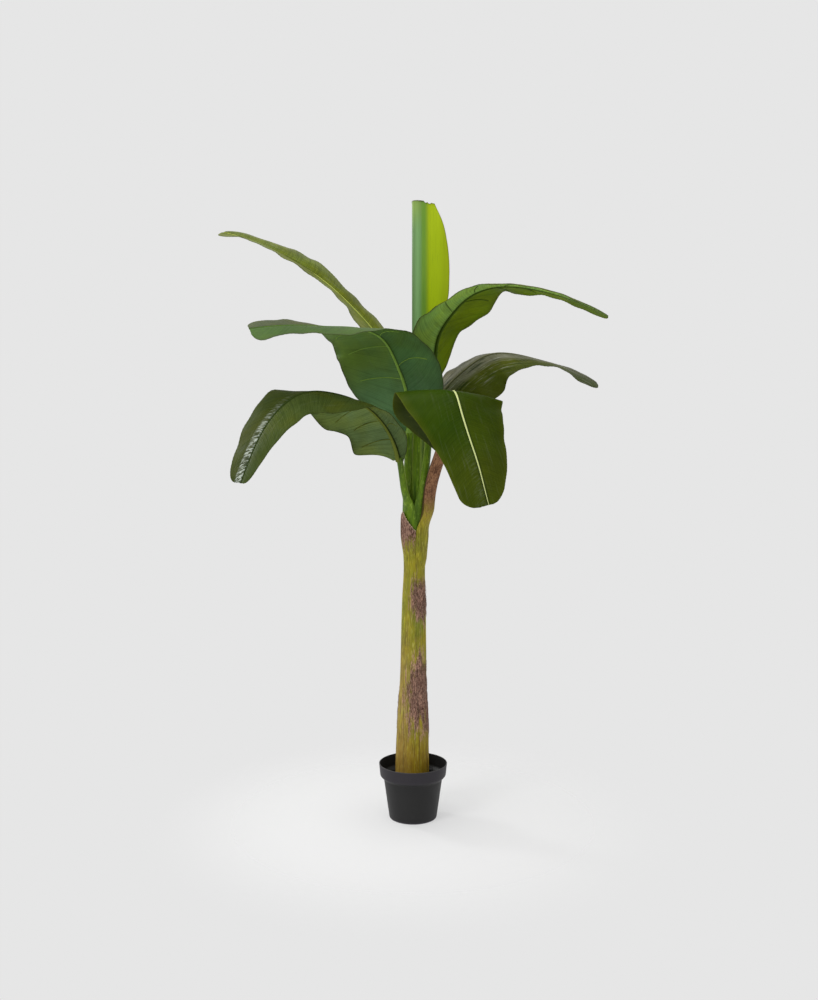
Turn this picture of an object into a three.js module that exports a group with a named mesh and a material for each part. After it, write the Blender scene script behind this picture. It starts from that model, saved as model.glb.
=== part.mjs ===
// A potted artificial banana plant, 1.8 m tall, built as the real thing is put together:
// a nursery pot with a cast filling, a tapering trunk, a bundle of leaf stalks and the leaf blades.
// Millimetres, Z up, X to the right and Y away from someone who stands in front of the plant.
// The origin is the middle of the pot's underside.
import * as THREE from 'three';
import { mergeVertices } from 'three/addons/utils/BufferGeometryUtils.js';

// Clearance between pieces that touch
const SEAT = 0.3;

// Pot and filling
const POT_HEIGHT = 164;
const POT_RIM_RADIUS = 100.5;
const POT_COLLAR_HEIGHT = 36;
const POT_COLLAR_FLARE = 3.5;
const POT_STEP_HEIGHT = 9;
const POT_BODY_TOP_RADIUS = 86.5;
const POT_BASE_RADIUS = 71;
const POT_FOOT_ROUNDING = 4;
const POT_WALL = 2.8;
const POT_SIDES = 44;
const FILL_TOP = 109;
const FILL_ROUNDING = 3;

// Trunk: radius at each height, and how far its middle stands off the pot's axis
const TRUNK_PROFILE = [
  { z: FILL_TOP + SEAT, radius: 50.5 },
  { z: 134, radius: 50 },
  { z: 232, radius: 48 },
  { z: 352, radius: 41.5 },
  { z: 532, radius: 37 },
  { z: 650, radius: 34 },
  { z: 768, radius: 31 },
  { z: 812, radius: 33.5 },
  { z: 840, radius: 37 },
];
const TRUNK_TOP = 840;
const TRUNK_FOOT_X = -3;
const FORK_X = 5;
const TRUNK_SIDES = 24;

// Torn sheath that stands up on the left of the fork
const SHEATH = {
  foot: 798, peak: 906, notch: 852, wall: 4, thinning: 0.7, inner: 34.2, spread: 4.2,
  from: 150, to: 262, peakShare: 0.35, steps: 9,
};

// Stalks stand in a ring round the stem of the unopened leaf
const STALK_RING = 26;
const STALK_FOOT_RADIUS = 11;
const STALK_TIP_RADIUS = 9;
const STALK_SIDES = 8;
const STALK_STEPS = 7;
const STALK_RISE = 0.35;
const STALK_PULL = 0.14;
const STALK_COUNT = 7;
const STALK_TURN = 360 / STALK_COUNT;
const FIRST_STALK = 31.8;

// Leaf blades: thickness at the rib and at the margins, and how the halves bow across
const BLADE_RIB = 11;
const BLADE_EDGE = 7.2;
const BLADE_BOW = 15;
const BLADE_RIB_SHARE = 1 / 3;
const BLADE_STEPS_ACROSS = 4;
const BLADE_STEPS_ALONG = 14;
const BLADE_TIP = 0.06;
const BLADE_TIP_WIDTH = 0.4;
const RIB_STEPS = 200;

// One entry for each leaf. slope and heading give the rib's rise and its compass direction
// in degrees from foot to tip, roll turns the blade about the rib, left and right are the
// two half widths, and the droops say how far each half hangs below the rib's level.
// stalk is its place in the ring, and bow pushes the stalk sideways on its way up.
const LEAVES = [
  {
    name: 'leaf_upper_left', stalk: 2, length: 790, foot: [-30, 40, 1290],
    slope: [65, 56, 47, 42, 36, 29, 27, 20, 14],
    heading: [143, 156, 157, 154, 152, 154, 156, 159, 160],
    roll: [15, 3, 3, 4, 4, 3, 2, 0, 0],
    left: [15, 84, 95, 58, 50, 80, 76, 68, 58],
    right: [15, 78, 74, 74, 64, 80, 97, 75, 66],
    leftDroop: [0, 0, 0, 0, 0, -2, -2, 2, 20],
    rightDroop: [-10, -8, -8, -8, -13, -18, -12, -9, -12],
  },
  {
    name: 'leaf_mid_left', stalk: 3, length: 678, foot: [-11, -17, 1143], split: 0.52,
    slope: [66, 72, 63, 53, 16, 0, 2, -4, -9],
    heading: [280, 247, 223, 223, 213, 204, 198, 197, 194],
    roll: [-13, 12, 27, 19, 2, -5, -8, -14, -20],
    left: [15, 92, 120, 110, 97, 97, 76, 60, 106],
    right: [15, 124, 166, 166, 178, 128, 80, 77, 50],
    leftDroop: [0, 0, 0, 2, 2, 12, 10, 13, 6],
    rightDroop: [0, 0, 0, 6, 16, 16, 1, -1, 0],
  },
  {
    name: 'leaf_lower_left', stalk: 4, length: 711, foot: [-38, -56, 1062], split: 0.5,
    slope: [62, 53, 37, 17, 3, -32, -52, -64, -67],
    heading: [252, 226, 217, 212, 208, 210, 212, 215, 216],
    roll: [-34, -9, -1, 1, 1, -3, -3, 0, 1],
    left: [15, 60, 66, 105, 100, 93, 92, 68, 40],
    right: [20, 114, 101, 131, 121, 108, 92, 88, 78],
    leftDroop: [0, -9, 0, 18, 39, 25, 12, 8, 5],
    rightDroop: [40, 66, 58, 43, 15, -9, -6, -4, 0],
  },
  {
    name: 'leaf_front', stalk: 6, bow: [8, -4], length: 600, foot: [80, -82, 1086], split: 0.42,
    slope: [61, 56, 45, 22, -48, -61, -65, -72, -74],
    heading: [285, 281, 277, 277, 288, 302, 315, 321, 334],
    roll: [-12, -8, -1, 1, 4, 16, 28, 36, 49],
    left: [15, 80, 118, 136, 138, 119, 100, 75, 38],
    right: [15, 100, 151, 156, 146, 112, 90, 78, 66],
    leftDroop: [0, 1, 6, 12, 18, 13, 11, 9, 5],
    rightDroop: [0, 8, 10, 1, 5, 7, 10, 9, 5],
  },
  {
    name: 'leaf_lower_right', stalk: 0, bow: [10, 2], length: 655, foot: [38, 38, 1180], split: 0.5,
    slope: [66, 48, 40, 30, 1, -12, -14, -23, -29],
    heading: [36, 32, 22, 21, 18, 16, 14, 12, 12],
    roll: [-16, -10, -3, -1, 0, 0, -1, -2, -3],
    left: [15, 56, 87, 96, 95, 84, 76, 80, 70],
    right: [15, 92, 127, 131, 102, 78, 74, 72, 60],
    leftDroop: [0, -1, -3, 1, 4, 3, 0, -12, -16],
    rightDroop: [30, 50, 58, 57, 43, 24, 16, 28, 30],
  },
  {
    name: 'leaf_upper_right', stalk: 5, bow: [10, -16], length: 723, foot: [55, 6, 1268], split: 0.5,
    slope: [77, 73, 51, 35, 12, -6, -15, -22, -30],
    heading: [295, 280, 316, 316, 324, 332, 339, 345, 348],
    roll: [32, 48, 8, 8, 1, -3, -3, 1, 2],
    left: [14, 100, 116, 120, 104, 90, 83, 72, 50],
    right: [14, 82, 116, 124, 104, 90, 83, 72, 50],
    leftDroop: [0, 0, 3, 14, 2, 8, 2, 10, 14],
    rightDroop: [0, -5, -5, 2, 5, 4, 1, 0, 0],
  },
  {
    name: 'leaf_back', stalk: 1, length: 640, foot: [2, 78, 1150], split: 0.5,
    slope: [60, 51, 36, 19, -4, -27, -48, -57, -62],
    heading: [101, 100, 98, 97, 95, 94, 94, 94, 95],
    roll: [-5, -4, -2, -1, 0, 0, -1, -1, 0],
    left: [15, 75, 108, 121, 124, 117, 107, 92, 60],
    right: [15, 75, 108, 121, 124, 117, 107, 92, 60],
    leftDroop: [0, 5, 10, 14, 16, 14, 12, 11, 8],
    rightDroop: [0, 5, 10, 14, 16, 14, 12, 11, 8],
  },
];

// Unopened leaf: a rolled tube with one half already free, as a flat wing on its right
const SPEAR = {
  foot: 1330, top: 1797, shoulder: 1785, x: 13, y: 8, tube: 18, wall: 7.2,
  wing: [0, 20, 48, 66, 71, 71, 67, 56, 30], shoulderPower: 8, stemRadius: 14,
};
const SPEAR_STEPS = 12;
const SPEAR_SIDES = 14;

const GREEN = { stalk: 0x4d7a1f, leaf: 0x2f5a1c, young: 0x7fa61f, trunk: 0x8a8a35, sheath: 0x6e5148 };

// Value at a fraction of the way along an evenly spaced list, on a smooth curve
function along(values, fraction) {
  const last = values.length - 1;
  const place = Math.min(Math.max(fraction, 0), 1) * last;
  const i = Math.min(Math.floor(place), last - 1);
  const f = place - i;
  const a = values[i];
  const b = values[i + 1];
  const before = i > 0 ? values[i - 1] : 2 * a - b;
  const after = i + 2 <= last ? values[i + 2] : 2 * b - a;
  const leave = (b - before) / 2;
  const arrive = (after - a) / 2;
  return (2 * f ** 3 - 3 * f ** 2 + 1) * a + (f ** 3 - 2 * f ** 2 + f) * leave
    + (3 * f ** 2 - 2 * f ** 3) * b + (f ** 3 - f ** 2) * arrive;
}

function radians(degrees) {
  return THREE.MathUtils.degToRad(degrees);
}

// Merges a geometry's points, drops empty faces and turns its faces outwards
function closed(geometry) {
  geometry.deleteAttribute('normal');
  geometry.deleteAttribute('uv');
  const merged = mergeVertices(geometry, 1e-3);
  const points = merged.attributes.position;
  const faces = [];
  let volume = 0;
  const corner = [new THREE.Vector3(), new THREE.Vector3(), new THREE.Vector3()];
  for (let i = 0; i < merged.index.count; i += 3) {
    const face = [0, 1, 2].map((k) => merged.index.getX(i + k));
    if (face[0] === face[1] || face[1] === face[2] || face[2] === face[0]) continue;
    face.forEach((at, k) => corner[k].fromBufferAttribute(points, at));
    volume += corner[0].dot(corner[1].clone().cross(corner[2]));
    faces.push(face);
  }
  const outward = volume > 0 ? faces : faces.map(([a, b, c]) => [a, c, b]);
  merged.setIndex(outward.flat());
  merged.computeVertexNormals();
  return merged;
}

// Solid through a row of rings that have the same even number of points
function loft(rings) {
  const count = rings[0].length;
  const geometry = new THREE.BufferGeometry();
  geometry.setFromPoints(rings.flat());
  const faces = [];
  for (let r = 0; r + 1 < rings.length; r += 1) {
    for (let k = 0; k < count; k += 1) {
      const next = (k + 1) % count;
      const a = r * count + k;
      const b = r * count + next;
      faces.push(a, b, b + count, a, b + count, a + count);
    }
  }
  const lastRing = (rings.length - 1) * count;
  for (let k = 0; k + 1 < count / 2; k += 1) {
    const ends = [k, k + 1, count - 2 - k, count - 1 - k];
    faces.push(ends[0], ends[2], ends[1], ends[0], ends[3], ends[2]);
    const top = ends.map((at) => at + lastRing);
    faces.push(top[0], top[1], top[2], top[0], top[2], top[3]);
  }
  geometry.setIndex(faces);
  return closed(geometry);
}

function piece(name, geometry, color, roughness) {
  const material = new THREE.MeshStandardMaterial({ color, roughness, metalness: 0 });
  const mesh = new THREE.Mesh(geometry, material);
  mesh.name = name;
  return mesh;
}

// Solid turned about the upright axis from a closed profile of radius and height
function turned(profile, sides) {
  const points = profile.map(([radius, z]) => new THREE.Vector2(radius, z));
  const geometry = new THREE.LatheGeometry(points, sides);
  geometry.rotateX(Math.PI / 2);
  return closed(geometry);
}

// Nursery pot: tapering body, a step out to the collar, and a plain rim
function makePot() {
  const collarFoot = POT_HEIGHT - POT_COLLAR_HEIGHT;
  const bodyTop = collarFoot - POT_STEP_HEIGHT;
  const collarRadius = POT_RIM_RADIUS - POT_COLLAR_FLARE;
  const footInside = POT_BASE_RADIUS - POT_WALL;
  const profile = [
    [0, 0], [POT_BASE_RADIUS - POT_FOOT_ROUNDING, 0], [POT_BASE_RADIUS, POT_FOOT_ROUNDING],
    [POT_BODY_TOP_RADIUS, bodyTop], [collarRadius, collarFoot], [POT_RIM_RADIUS, POT_HEIGHT],
    [POT_RIM_RADIUS - POT_WALL, POT_HEIGHT], [collarRadius - POT_WALL, collarFoot + 1],
    [POT_BODY_TOP_RADIUS - POT_WALL, bodyTop + 1], [footInside, POT_FOOT_ROUNDING + 1],
    [footInside - FILL_ROUNDING, POT_WALL], [0, POT_WALL],
  ];
  return piece('pot', turned(profile, POT_SIDES), 0x232425, 0.6);
}

// Cast filling that holds the foot of the trunk, level on top
function makeFilling() {
  const bodyTop = POT_HEIGHT - POT_COLLAR_HEIGHT - POT_STEP_HEIGHT;
  const flare = (POT_BODY_TOP_RADIUS - POT_BASE_RADIUS) / (bodyTop - POT_FOOT_ROUNDING);
  const footInside = POT_BASE_RADIUS - POT_WALL;
  const inside = (z) => footInside + flare * (z - POT_FOOT_ROUNDING - 1) - SEAT * 2;
  const floor = POT_WALL + SEAT;
  const shoulder = FILL_TOP - FILL_ROUNDING;
  const profile = [
    [0, floor], [footInside - FILL_ROUNDING - 1, floor],
    [inside(floor + FILL_ROUNDING), floor + FILL_ROUNDING], [inside(shoulder), shoulder],
    [inside(FILL_TOP) - FILL_ROUNDING, FILL_TOP], [0, FILL_TOP],
  ];
  return piece('pot_fill', turned(profile, POT_SIDES), 0x1d1b1a, 0.95);
}

function circle(centre, acrossOne, acrossTwo, radius, sides) {
  const ring = [];
  for (let k = 0; k < sides; k += 1) {
    const angle = (k / sides) * 2 * Math.PI;
    const point = centre.clone().addScaledVector(acrossOne, radius * Math.cos(angle));
    ring.push(point.addScaledVector(acrossTwo, radius * Math.sin(angle)));
  }
  return ring;
}

function trunkMiddle(z) {
  const rise = (z - FILL_TOP) / (TRUNK_TOP - FILL_TOP);
  return new THREE.Vector3(THREE.MathUtils.lerp(TRUNK_FOOT_X, FORK_X, rise), 0, z);
}

function makeTrunk() {
  const east = new THREE.Vector3(1, 0, 0);
  const north = new THREE.Vector3(0, 1, 0);
  const rings = TRUNK_PROFILE.map(
    ({ z, radius }) => circle(trunkMiddle(z), east, north, radius, TRUNK_SIDES));
  return piece('trunk', loft(rings), GREEN.trunk, 0.7);
}

// Curved plate that wraps the fork and runs up to a point on the left
function makeSheath() {
  const lip = SHEATH.inner + SHEATH.spread;
  const thin = SHEATH.wall * SHEATH.thinning;
  const rings = [];
  for (let k = 0; k <= SHEATH.steps; k += 1) {
    const share = k / SHEATH.steps;
    const angle = radians(THREE.MathUtils.lerp(SHEATH.from, SHEATH.to, share));
    const rise = 1 - Math.abs(share - SHEATH.peakShare) / (1 - SHEATH.peakShare);
    const top = THREE.MathUtils.lerp(SHEATH.notch, SHEATH.peak, Math.max(rise, 0));
    const at = (radius, z) => new THREE.Vector3(
      trunkMiddle(z).x + radius * Math.cos(angle), radius * Math.sin(angle), z);
    rings.push([
      at(SHEATH.inner, SHEATH.foot), at(lip, TRUNK_TOP), at(lip + 1, top),
      at(lip + 1 + thin, top), at(lip + SHEATH.wall, TRUNK_TOP), at(SHEATH.inner + thin, SHEATH.foot),
    ]);
  }
  return piece('sheath_left', loft(rings), GREEN.sheath, 0.85);
}

// Position, direction, sideways and upward directions of a leaf's rib at a fraction of its length
function ribFrame(leaf, fraction) {
  const slope = radians(along(leaf.slope, fraction));
  const heading = radians(along(leaf.heading, fraction));
  const roll = radians(along(leaf.roll, fraction));
  const level = new THREE.Vector3(-Math.sin(heading), Math.cos(heading), 0);
  const ahead = new THREE.Vector3(
    Math.cos(heading) * Math.cos(slope), Math.sin(heading) * Math.cos(slope), Math.sin(slope));
  const above = ahead.clone().cross(level);
  const side = level.clone().multiplyScalar(Math.cos(roll)).addScaledVector(above, Math.sin(roll));
  const up = ahead.clone().cross(side);
  return { ahead, side, up };
}

// Walks along the rib in short steps and returns its position at each wanted fraction
function ribPoints(leaf, fractions) {
  const step = leaf.length / RIB_STEPS;
  const here = new THREE.Vector3(...leaf.foot);
  const walked = [here.clone()];
  for (let i = 0; i < RIB_STEPS; i += 1) {
    here.addScaledVector(ribFrame(leaf, (i + 0.5) / RIB_STEPS).ahead, step);
    walked.push(here.clone());
  }
  return fractions.map((fraction) => {
    const place = fraction * RIB_STEPS;
    const i = Math.min(Math.floor(place), RIB_STEPS - 1);
    return walked[i].clone().lerp(walked[i + 1], place - i);
  });
}

// Narrows the blade to a blunt round tip
function tipShare(fraction) {
  const past = (fraction - 1 + BLADE_TIP) / BLADE_TIP;
  const round = Math.sqrt(Math.max(1 - Math.max(past, 0) ** 2, 0));
  return THREE.MathUtils.lerp(BLADE_TIP_WIDTH, 1, round);
}

// Upper and lower line of one half of the blade, from the rib out to the margin
function halfSection(leaf, fraction, rib, frame, sign) {
  const width = along(sign > 0 ? leaf.left : leaf.right, fraction) * tipShare(fraction);
  const droop = along(sign > 0 ? leaf.leftDroop : leaf.rightDroop, fraction);
  const here = rib.clone();
  const upper = [];
  const lower = [];
  for (let k = 0; k <= BLADE_STEPS_ACROSS; k += 1) {
    const out = k / BLADE_STEPS_ACROSS;
    const tilt = radians(droop + BLADE_BOW * (out - 0.5));
    const half = THREE.MathUtils.lerp(BLADE_RIB, BLADE_EDGE, Math.min(out / BLADE_RIB_SHARE, 1)) / 2;
    const normal = frame.up.clone().multiplyScalar(Math.cos(k ? tilt : 0));
    normal.addScaledVector(frame.side, sign * Math.sin(k ? tilt : 0));
    upper.push(here.clone().addScaledVector(normal, half));
    lower.push(here.clone().addScaledVector(normal, -half));
    const next = radians(droop + BLADE_BOW * (out + 0.5 / BLADE_STEPS_ACROSS - 0.5));
    const step = width / BLADE_STEPS_ACROSS;
    here.addScaledVector(frame.side, sign * Math.cos(next) * step);
    here.addScaledVector(frame.up, -Math.sin(next) * step);
  }
  return { upper, lower };
}

function bladeRing(leaf, fraction, rib) {
  const frame = ribFrame(leaf, fraction);
  const left = halfSection(leaf, fraction, rib, frame, 1);
  const right = halfSection(leaf, fraction, rib, frame, -1);
  const upper = [...left.upper.slice(1).reverse(), ...right.upper];
  const lower = [...left.lower.slice(1).reverse(), ...right.lower];
  return [...upper, ...lower.reverse()];
}

// Evenly spaced stations from one fraction of the leaf to another, closer together at the tip
function stations(from, to) {
  const steps = Math.max(Math.round((to - from) * BLADE_STEPS_ALONG), 3);
  const list = [];
  for (let i = 0; i <= steps; i += 1) list.push(from + ((to - from) * i) / steps);
  if (to === 1) list.splice(list.length - 1, 0, 1 - BLADE_TIP * 0.6, 1 - BLADE_TIP * 0.2);
  return list;
}

function makeBlade(name, leaf, from, to, color) {
  const fractions = stations(from, to);
  const ribs = ribPoints(leaf, fractions);
  const rings = fractions.map((fraction, i) => bladeRing(leaf, fraction, ribs[i]));
  return piece(name, loft(rings), color, 0.45);
}

// A blade that bends far over is made as an inner and an outer piece that meet at the bend
function makeBlades(leaf) {
  const color = leaf.name.includes('upper') ? GREEN.young : GREEN.leaf;
  if (!leaf.split) return [makeBlade(leaf.name, leaf, 0, 1, color)];
  const seam = SEAT / leaf.length;
  return [
    makeBlade(`${leaf.name}_inner`, leaf, 0, leaf.split - seam, color),
    makeBlade(`${leaf.name}_outer`, leaf, leaf.split + seam, 1, color),
  ];
}

// Round stalk that leaves the bundle upright and runs into the blade's rib
function makeStalk(leaf) {
  const turn = radians(FIRST_STALK + leaf.stalk * STALK_TURN);
  const foot = new THREE.Vector3(
    FORK_X + STALK_RING * Math.cos(turn), STALK_RING * Math.sin(turn), TRUNK_TOP + SEAT);
  const frame = ribFrame(leaf, 0);
  const tip = new THREE.Vector3(...leaf.foot).addScaledVector(frame.ahead, -SEAT);
  const reach = tip.distanceTo(foot);
  const bow = new THREE.Vector3(...(leaf.bow ?? [0, 0]), 0);
  const rising = foot.clone().setZ(foot.z + reach * STALK_RISE);
  const arriving = tip.clone().addScaledVector(frame.ahead, -reach * STALK_PULL);
  const path = new THREE.CubicBezierCurve3(foot, rising, arriving, tip);
  const rings = [];
  for (let i = 0; i <= STALK_STEPS; i += 1) {
    const share = i / STALK_STEPS;
    const ahead = path.getTangentAt(share);
    const across = new THREE.Vector3(0, 1, 0).cross(ahead).normalize();
    const radius = THREE.MathUtils.lerp(STALK_FOOT_RADIUS, STALK_TIP_RADIUS, share);
    const middle = path.getPointAt(share).addScaledVector(bow, Math.sin(Math.PI * share) ** 2);
    rings.push(circle(middle, across, ahead.clone().cross(across), radius, STALK_SIDES));
  }
  return piece(leaf.name.replace('leaf', 'stalk'), loft(rings), GREEN.stalk, 0.5);
}

// Stem of the unopened leaf, up the middle of the bundle
function makeSpearStem() {
  const foot = new THREE.Vector3(FORK_X, 0, TRUNK_TOP + SEAT);
  const top = new THREE.Vector3(SPEAR.x, SPEAR.y, SPEAR.foot - SEAT);
  const east = new THREE.Vector3(1, 0, 0);
  const north = new THREE.Vector3(0, 1, 0);
  const rings = [0, 0.5, 1].map((share) => circle(
    foot.clone().lerp(top, share), east, north, SPEAR.stemRadius, STALK_SIDES + 4));
  return piece('spear_stem', loft(rings), GREEN.stalk, 0.5);
}

// Ring of the unopened leaf: from the wing's tip round the tube and back
function spearRing(share) {
  const z = THREE.MathUtils.lerp(SPEAR.foot, SPEAR.top, share);
  const slant = (SPEAR.top - SPEAR.shoulder) * share ** SPEAR.shoulderPower;
  const wing = along(SPEAR.wing, share);
  const half = SPEAR.wall / 2;
  const open = Math.asin(half / SPEAR.tube);
  const ring = [];
  for (let k = 0; k < SPEAR_SIDES; k += 1) {
    const angle = THREE.MathUtils.lerp(open, 2 * Math.PI - open, k / (SPEAR_SIDES - 1));
    ring.push(new THREE.Vector3(
      SPEAR.x + SPEAR.tube * Math.cos(angle), SPEAR.y + SPEAR.tube * Math.sin(angle), z));
  }
  const edge = SPEAR.x + SPEAR.tube + Math.max(wing, 1);
  const low = z - slant;
  ring.unshift(new THREE.Vector3(edge, SPEAR.y + half, low));
  ring.push(new THREE.Vector3(edge, SPEAR.y - half, low));
  return ring;
}

function makeSpearLeaf() {
  const rings = [];
  for (let i = 0; i <= SPEAR_STEPS; i += 1) rings.push(spearRing(i / SPEAR_STEPS));
  return piece('spear_leaf', loft(rings), GREEN.young, 0.45);
}

const plant = new THREE.Group();
plant.add(makePot(), makeFilling(), makeTrunk(), makeSheath(), makeSpearStem(), makeSpearLeaf());
for (const leaf of LEAVES) plant.add(makeStalk(leaf), ...makeBlades(leaf));
export default plant;
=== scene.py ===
# The looks of a potted artificial banana plant, 1.8 m tall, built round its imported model.
# Metres, Z up, the plant's front towards -Y, the origin in the middle of the pot's underside.
import math

import bmesh
import bpy
import numpy as np
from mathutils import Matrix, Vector, noise


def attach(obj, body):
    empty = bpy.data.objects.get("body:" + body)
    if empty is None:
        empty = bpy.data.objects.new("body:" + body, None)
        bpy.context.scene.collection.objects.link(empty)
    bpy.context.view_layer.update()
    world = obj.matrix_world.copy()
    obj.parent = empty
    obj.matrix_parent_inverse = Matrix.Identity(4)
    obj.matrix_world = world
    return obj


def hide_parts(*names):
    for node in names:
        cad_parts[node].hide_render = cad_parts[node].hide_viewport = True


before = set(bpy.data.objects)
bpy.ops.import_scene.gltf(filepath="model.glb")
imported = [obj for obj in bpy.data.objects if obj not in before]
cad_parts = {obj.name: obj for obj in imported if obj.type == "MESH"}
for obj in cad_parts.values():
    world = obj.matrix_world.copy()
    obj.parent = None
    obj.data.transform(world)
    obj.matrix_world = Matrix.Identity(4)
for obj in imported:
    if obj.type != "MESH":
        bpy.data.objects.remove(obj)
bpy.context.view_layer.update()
scene = bpy.context.scene
scene.view_settings.view_transform = "Standard"


# Studio
# A pale floor that fades into an even bright backdrop. Three soft boxes light the plant: a large one
# overhead, one high in front on the left and a small one behind on the left. The room behind the
# camera is dim, so glossy faces only shine at a slant.
FULL_TURN = 2 * math.pi
BACKDROP_GREY = 0.791
FLOOR_GREY = 0.42
FLOOR_GLOW = 0.43
FLOOR_RADIUS = 4.0
FLOOR_SIDES = 96
FLOOR_FADES_FROM = 0.22
FLOOR_FADES_TO = 0.80
ROOM_FRONT = 0.40
ROOM_REAR = 0.55
ROOM_TOP = 0.80
ROOM_FLOOR = 0.85
CAMERA_PLACE = (-0.012, -3.248, 1.228)
CAMERA_TILT = math.radians(85)
CAMERA_LENS = 40.46
CAMERA_SENSOR = 36
# Each soft box: its name, its place, what it points at, its width, its height and its watts
SOFT_BOXES = (
    ("overhead_box", (-0.3, -0.4, 3.6), (0, 0, 1.2), 2.6, 2.2, 34),
    ("left_box", (-2.3, -2.4, 2.6), (0, 0, 1.0), 1.3, 1.8, 46),
    ("rear_box", (-2.7, 1.8, 2.3), (-0.4, -0.2, 1.2), 0.6, 0.9, 32),
)


class Field:
    """A value that changes over a shape, held as a node's output. Arithmetic on it adds the nodes
    that work the result out."""

    def __init__(self, tree, socket):
        self.tree = tree
        self.socket = socket

    def math(self, operation, *others):
        feeds = dict(enumerate((self, *others)))
        return output_of(self.tree, "ShaderNodeMath", feeds, operation=operation)

    def math_of_its_kind(self, operation, vector_operation, socket, other):
        if self.socket.type != "VECTOR":
            return self.math(operation, other)
        return output_of(self.tree, "ShaderNodeVectorMath", {0: self, socket: other},
                         operation=vector_operation)

    def __add__(self, other):
        return self.math_of_its_kind("ADD", "ADD", 1, other)

    def __sub__(self, other):
        return self.math_of_its_kind("SUBTRACT", "SUBTRACT", 1, other)

    def __mul__(self, other):
        return self.math_of_its_kind("MULTIPLY", "SCALE", 3, other)

    def __truediv__(self, other):
        return self.math("DIVIDE", other)

    def power(self, exponent):
        return self.math("POWER", exponent)

    def sin(self):
        return self.math("SINE")

    def cos(self):
        return self.math("COSINE")

    def size(self):
        return self.math("ABSOLUTE")

    def step(self, low, high):
        """0 below low, 1 above high, and a smooth ramp between them; high may be the lower one."""
        feeds = {0: self, 1: low, 2: high}
        return output_of(self.tree, "ShaderNodeMapRange", feeds, interpolation_type="SMOOTHSTEP")


def add_node(tree, kind, feeds=None, **settings):
    """Adds a node, sets its properties, and feeds its sockets with values or other nodes' outputs."""
    made = tree.nodes.new(kind)
    for name, value in settings.items():
        setattr(made, name, value)
    for socket, value in (feeds or {}).items():
        source = value.socket if isinstance(value, Field) else value
        if isinstance(source, bpy.types.NodeSocket):
            tree.links.new(source, made.inputs[socket])
        else:
            made.inputs[socket].default_value = source
    return made


def output_of(tree, kind, feeds=None, at=0, **settings):
    return Field(tree, add_node(tree, kind, feeds, **settings).outputs[at])


def mixed(factor, first, second, blend="MIX"):
    """Colour between first and second, by a factor that may change over the surface."""
    tree = next(part.tree for part in (factor, first, second) if isinstance(part, Field))
    feeds = {0: factor, 6: opaque(first), 7: opaque(second)}
    return output_of(tree, "ShaderNodeMix", feeds, at=2, data_type="RGBA", blend_type=blend)


def opaque(colour):
    return colour if isinstance(colour, Field) else (*colour[:3], 1.0)


def grey(level):
    return (level, level, level, 1.0)


def painted(colour, *layers):
    """A colour with layers over it, each given as its factor and its own colour."""
    for factor, above in layers:
        colour = mixed(factor, colour, above)
    return colour


def joined_vector(tree, x=0.0, y=0.0, z=0.0):
    return output_of(tree, "ShaderNodeCombineXYZ", {0: x, 1: y, 2: z})


def speckle(tree, place, scale, detail=3.0, roughness=0.5):
    """Noise between about 0.25 and 0.75 at a place on the surface."""
    feeds = {"Vector": place, "Scale": scale, "Detail": detail, "Roughness": roughness}
    return output_of(tree, "ShaderNodeTexNoise", feeds)


def object_place(tree):
    return output_of(tree, "ShaderNodeTexCoord", at="Object")


def split(place):
    """The three coordinates of a place."""
    made = add_node(place.tree, "ShaderNodeSeparateXYZ", {0: place})
    return [Field(place.tree, made.outputs[k]) for k in range(3)]


def new_material(name, settings=None):
    """A material with one Principled shader, whose own sockets hold the settings."""
    material = bpy.data.materials.new(name)
    material.use_nodes = True
    tree = material.node_tree
    tree.nodes.clear()
    shader = add_node(tree, "ShaderNodeBsdfPrincipled", settings)
    add_node(tree, "ShaderNodeOutputMaterial", {"Surface": shader.outputs[0]})
    return material, tree, shader


def feed(shader, socket, value):
    shader.id_data.links.new(value.socket, shader.inputs[socket])


def cover(shader, colour, roughness, height, distance, strength=1.0):
    """Gives a shader its colour, its roughness and a relief of a height of 0 to 1 times the distance."""
    feed(shader, "Base Color", colour)
    if roughness is not None:
        feed(shader, "Roughness", roughness)
    feeds = {"Height": height, "Distance": distance, "Strength": strength}
    feed(shader, "Normal", output_of(shader.id_data, "ShaderNodeBump", feeds))


def floor_material():
    """A matt floor that gives off a little light and fades out into the backdrop."""
    material, tree, shader = new_material("studio floor", {
        "Base Color": grey(FLOOR_GREY), "Roughness": 0.8, "Specular IOR Level": 0.0,
        "Emission Color": grey(1.0), "Emission Strength": FLOOR_GLOW,
    })
    ending = shader.outputs[0].links[0].to_socket
    distance = output_of(tree, "ShaderNodeVectorMath", {0: object_place(tree)}, at=1, operation="LENGTH")
    clear = add_node(tree, "ShaderNodeBsdfTransparent")
    fade = distance.step(FLOOR_FADES_FROM, FLOOR_FADES_TO)
    blended = add_node(tree, "ShaderNodeMixShader", {0: fade, 1: shader.outputs[0], 2: clear.outputs[0]})
    tree.links.new(blended.outputs[0], ending)
    return material


def make_piece(name, points, faces, material=None):
    """A smooth mesh object from its points and faces."""
    mesh = bpy.data.meshes.new(name)
    mesh.from_pydata([tuple(point) for point in points], [], [tuple(face) for face in faces])
    mesh.shade_smooth()
    piece = bpy.data.objects.new(name, mesh)
    scene.collection.objects.link(piece)
    if material:
        mesh.materials.append(material)
    return piece


def round_turns(steps):
    """Evenly spaced angles all the way round."""
    return np.linspace(0, FULL_TURN, steps, endpoint=False)


def lay_floor():
    turns = round_turns(FLOOR_SIDES)
    rim = [(FLOOR_RADIUS * math.cos(turn), FLOOR_RADIUS * math.sin(turn), 0) for turn in turns]
    make_piece("studio_floor", rim, [range(len(rim))], floor_material())


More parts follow.
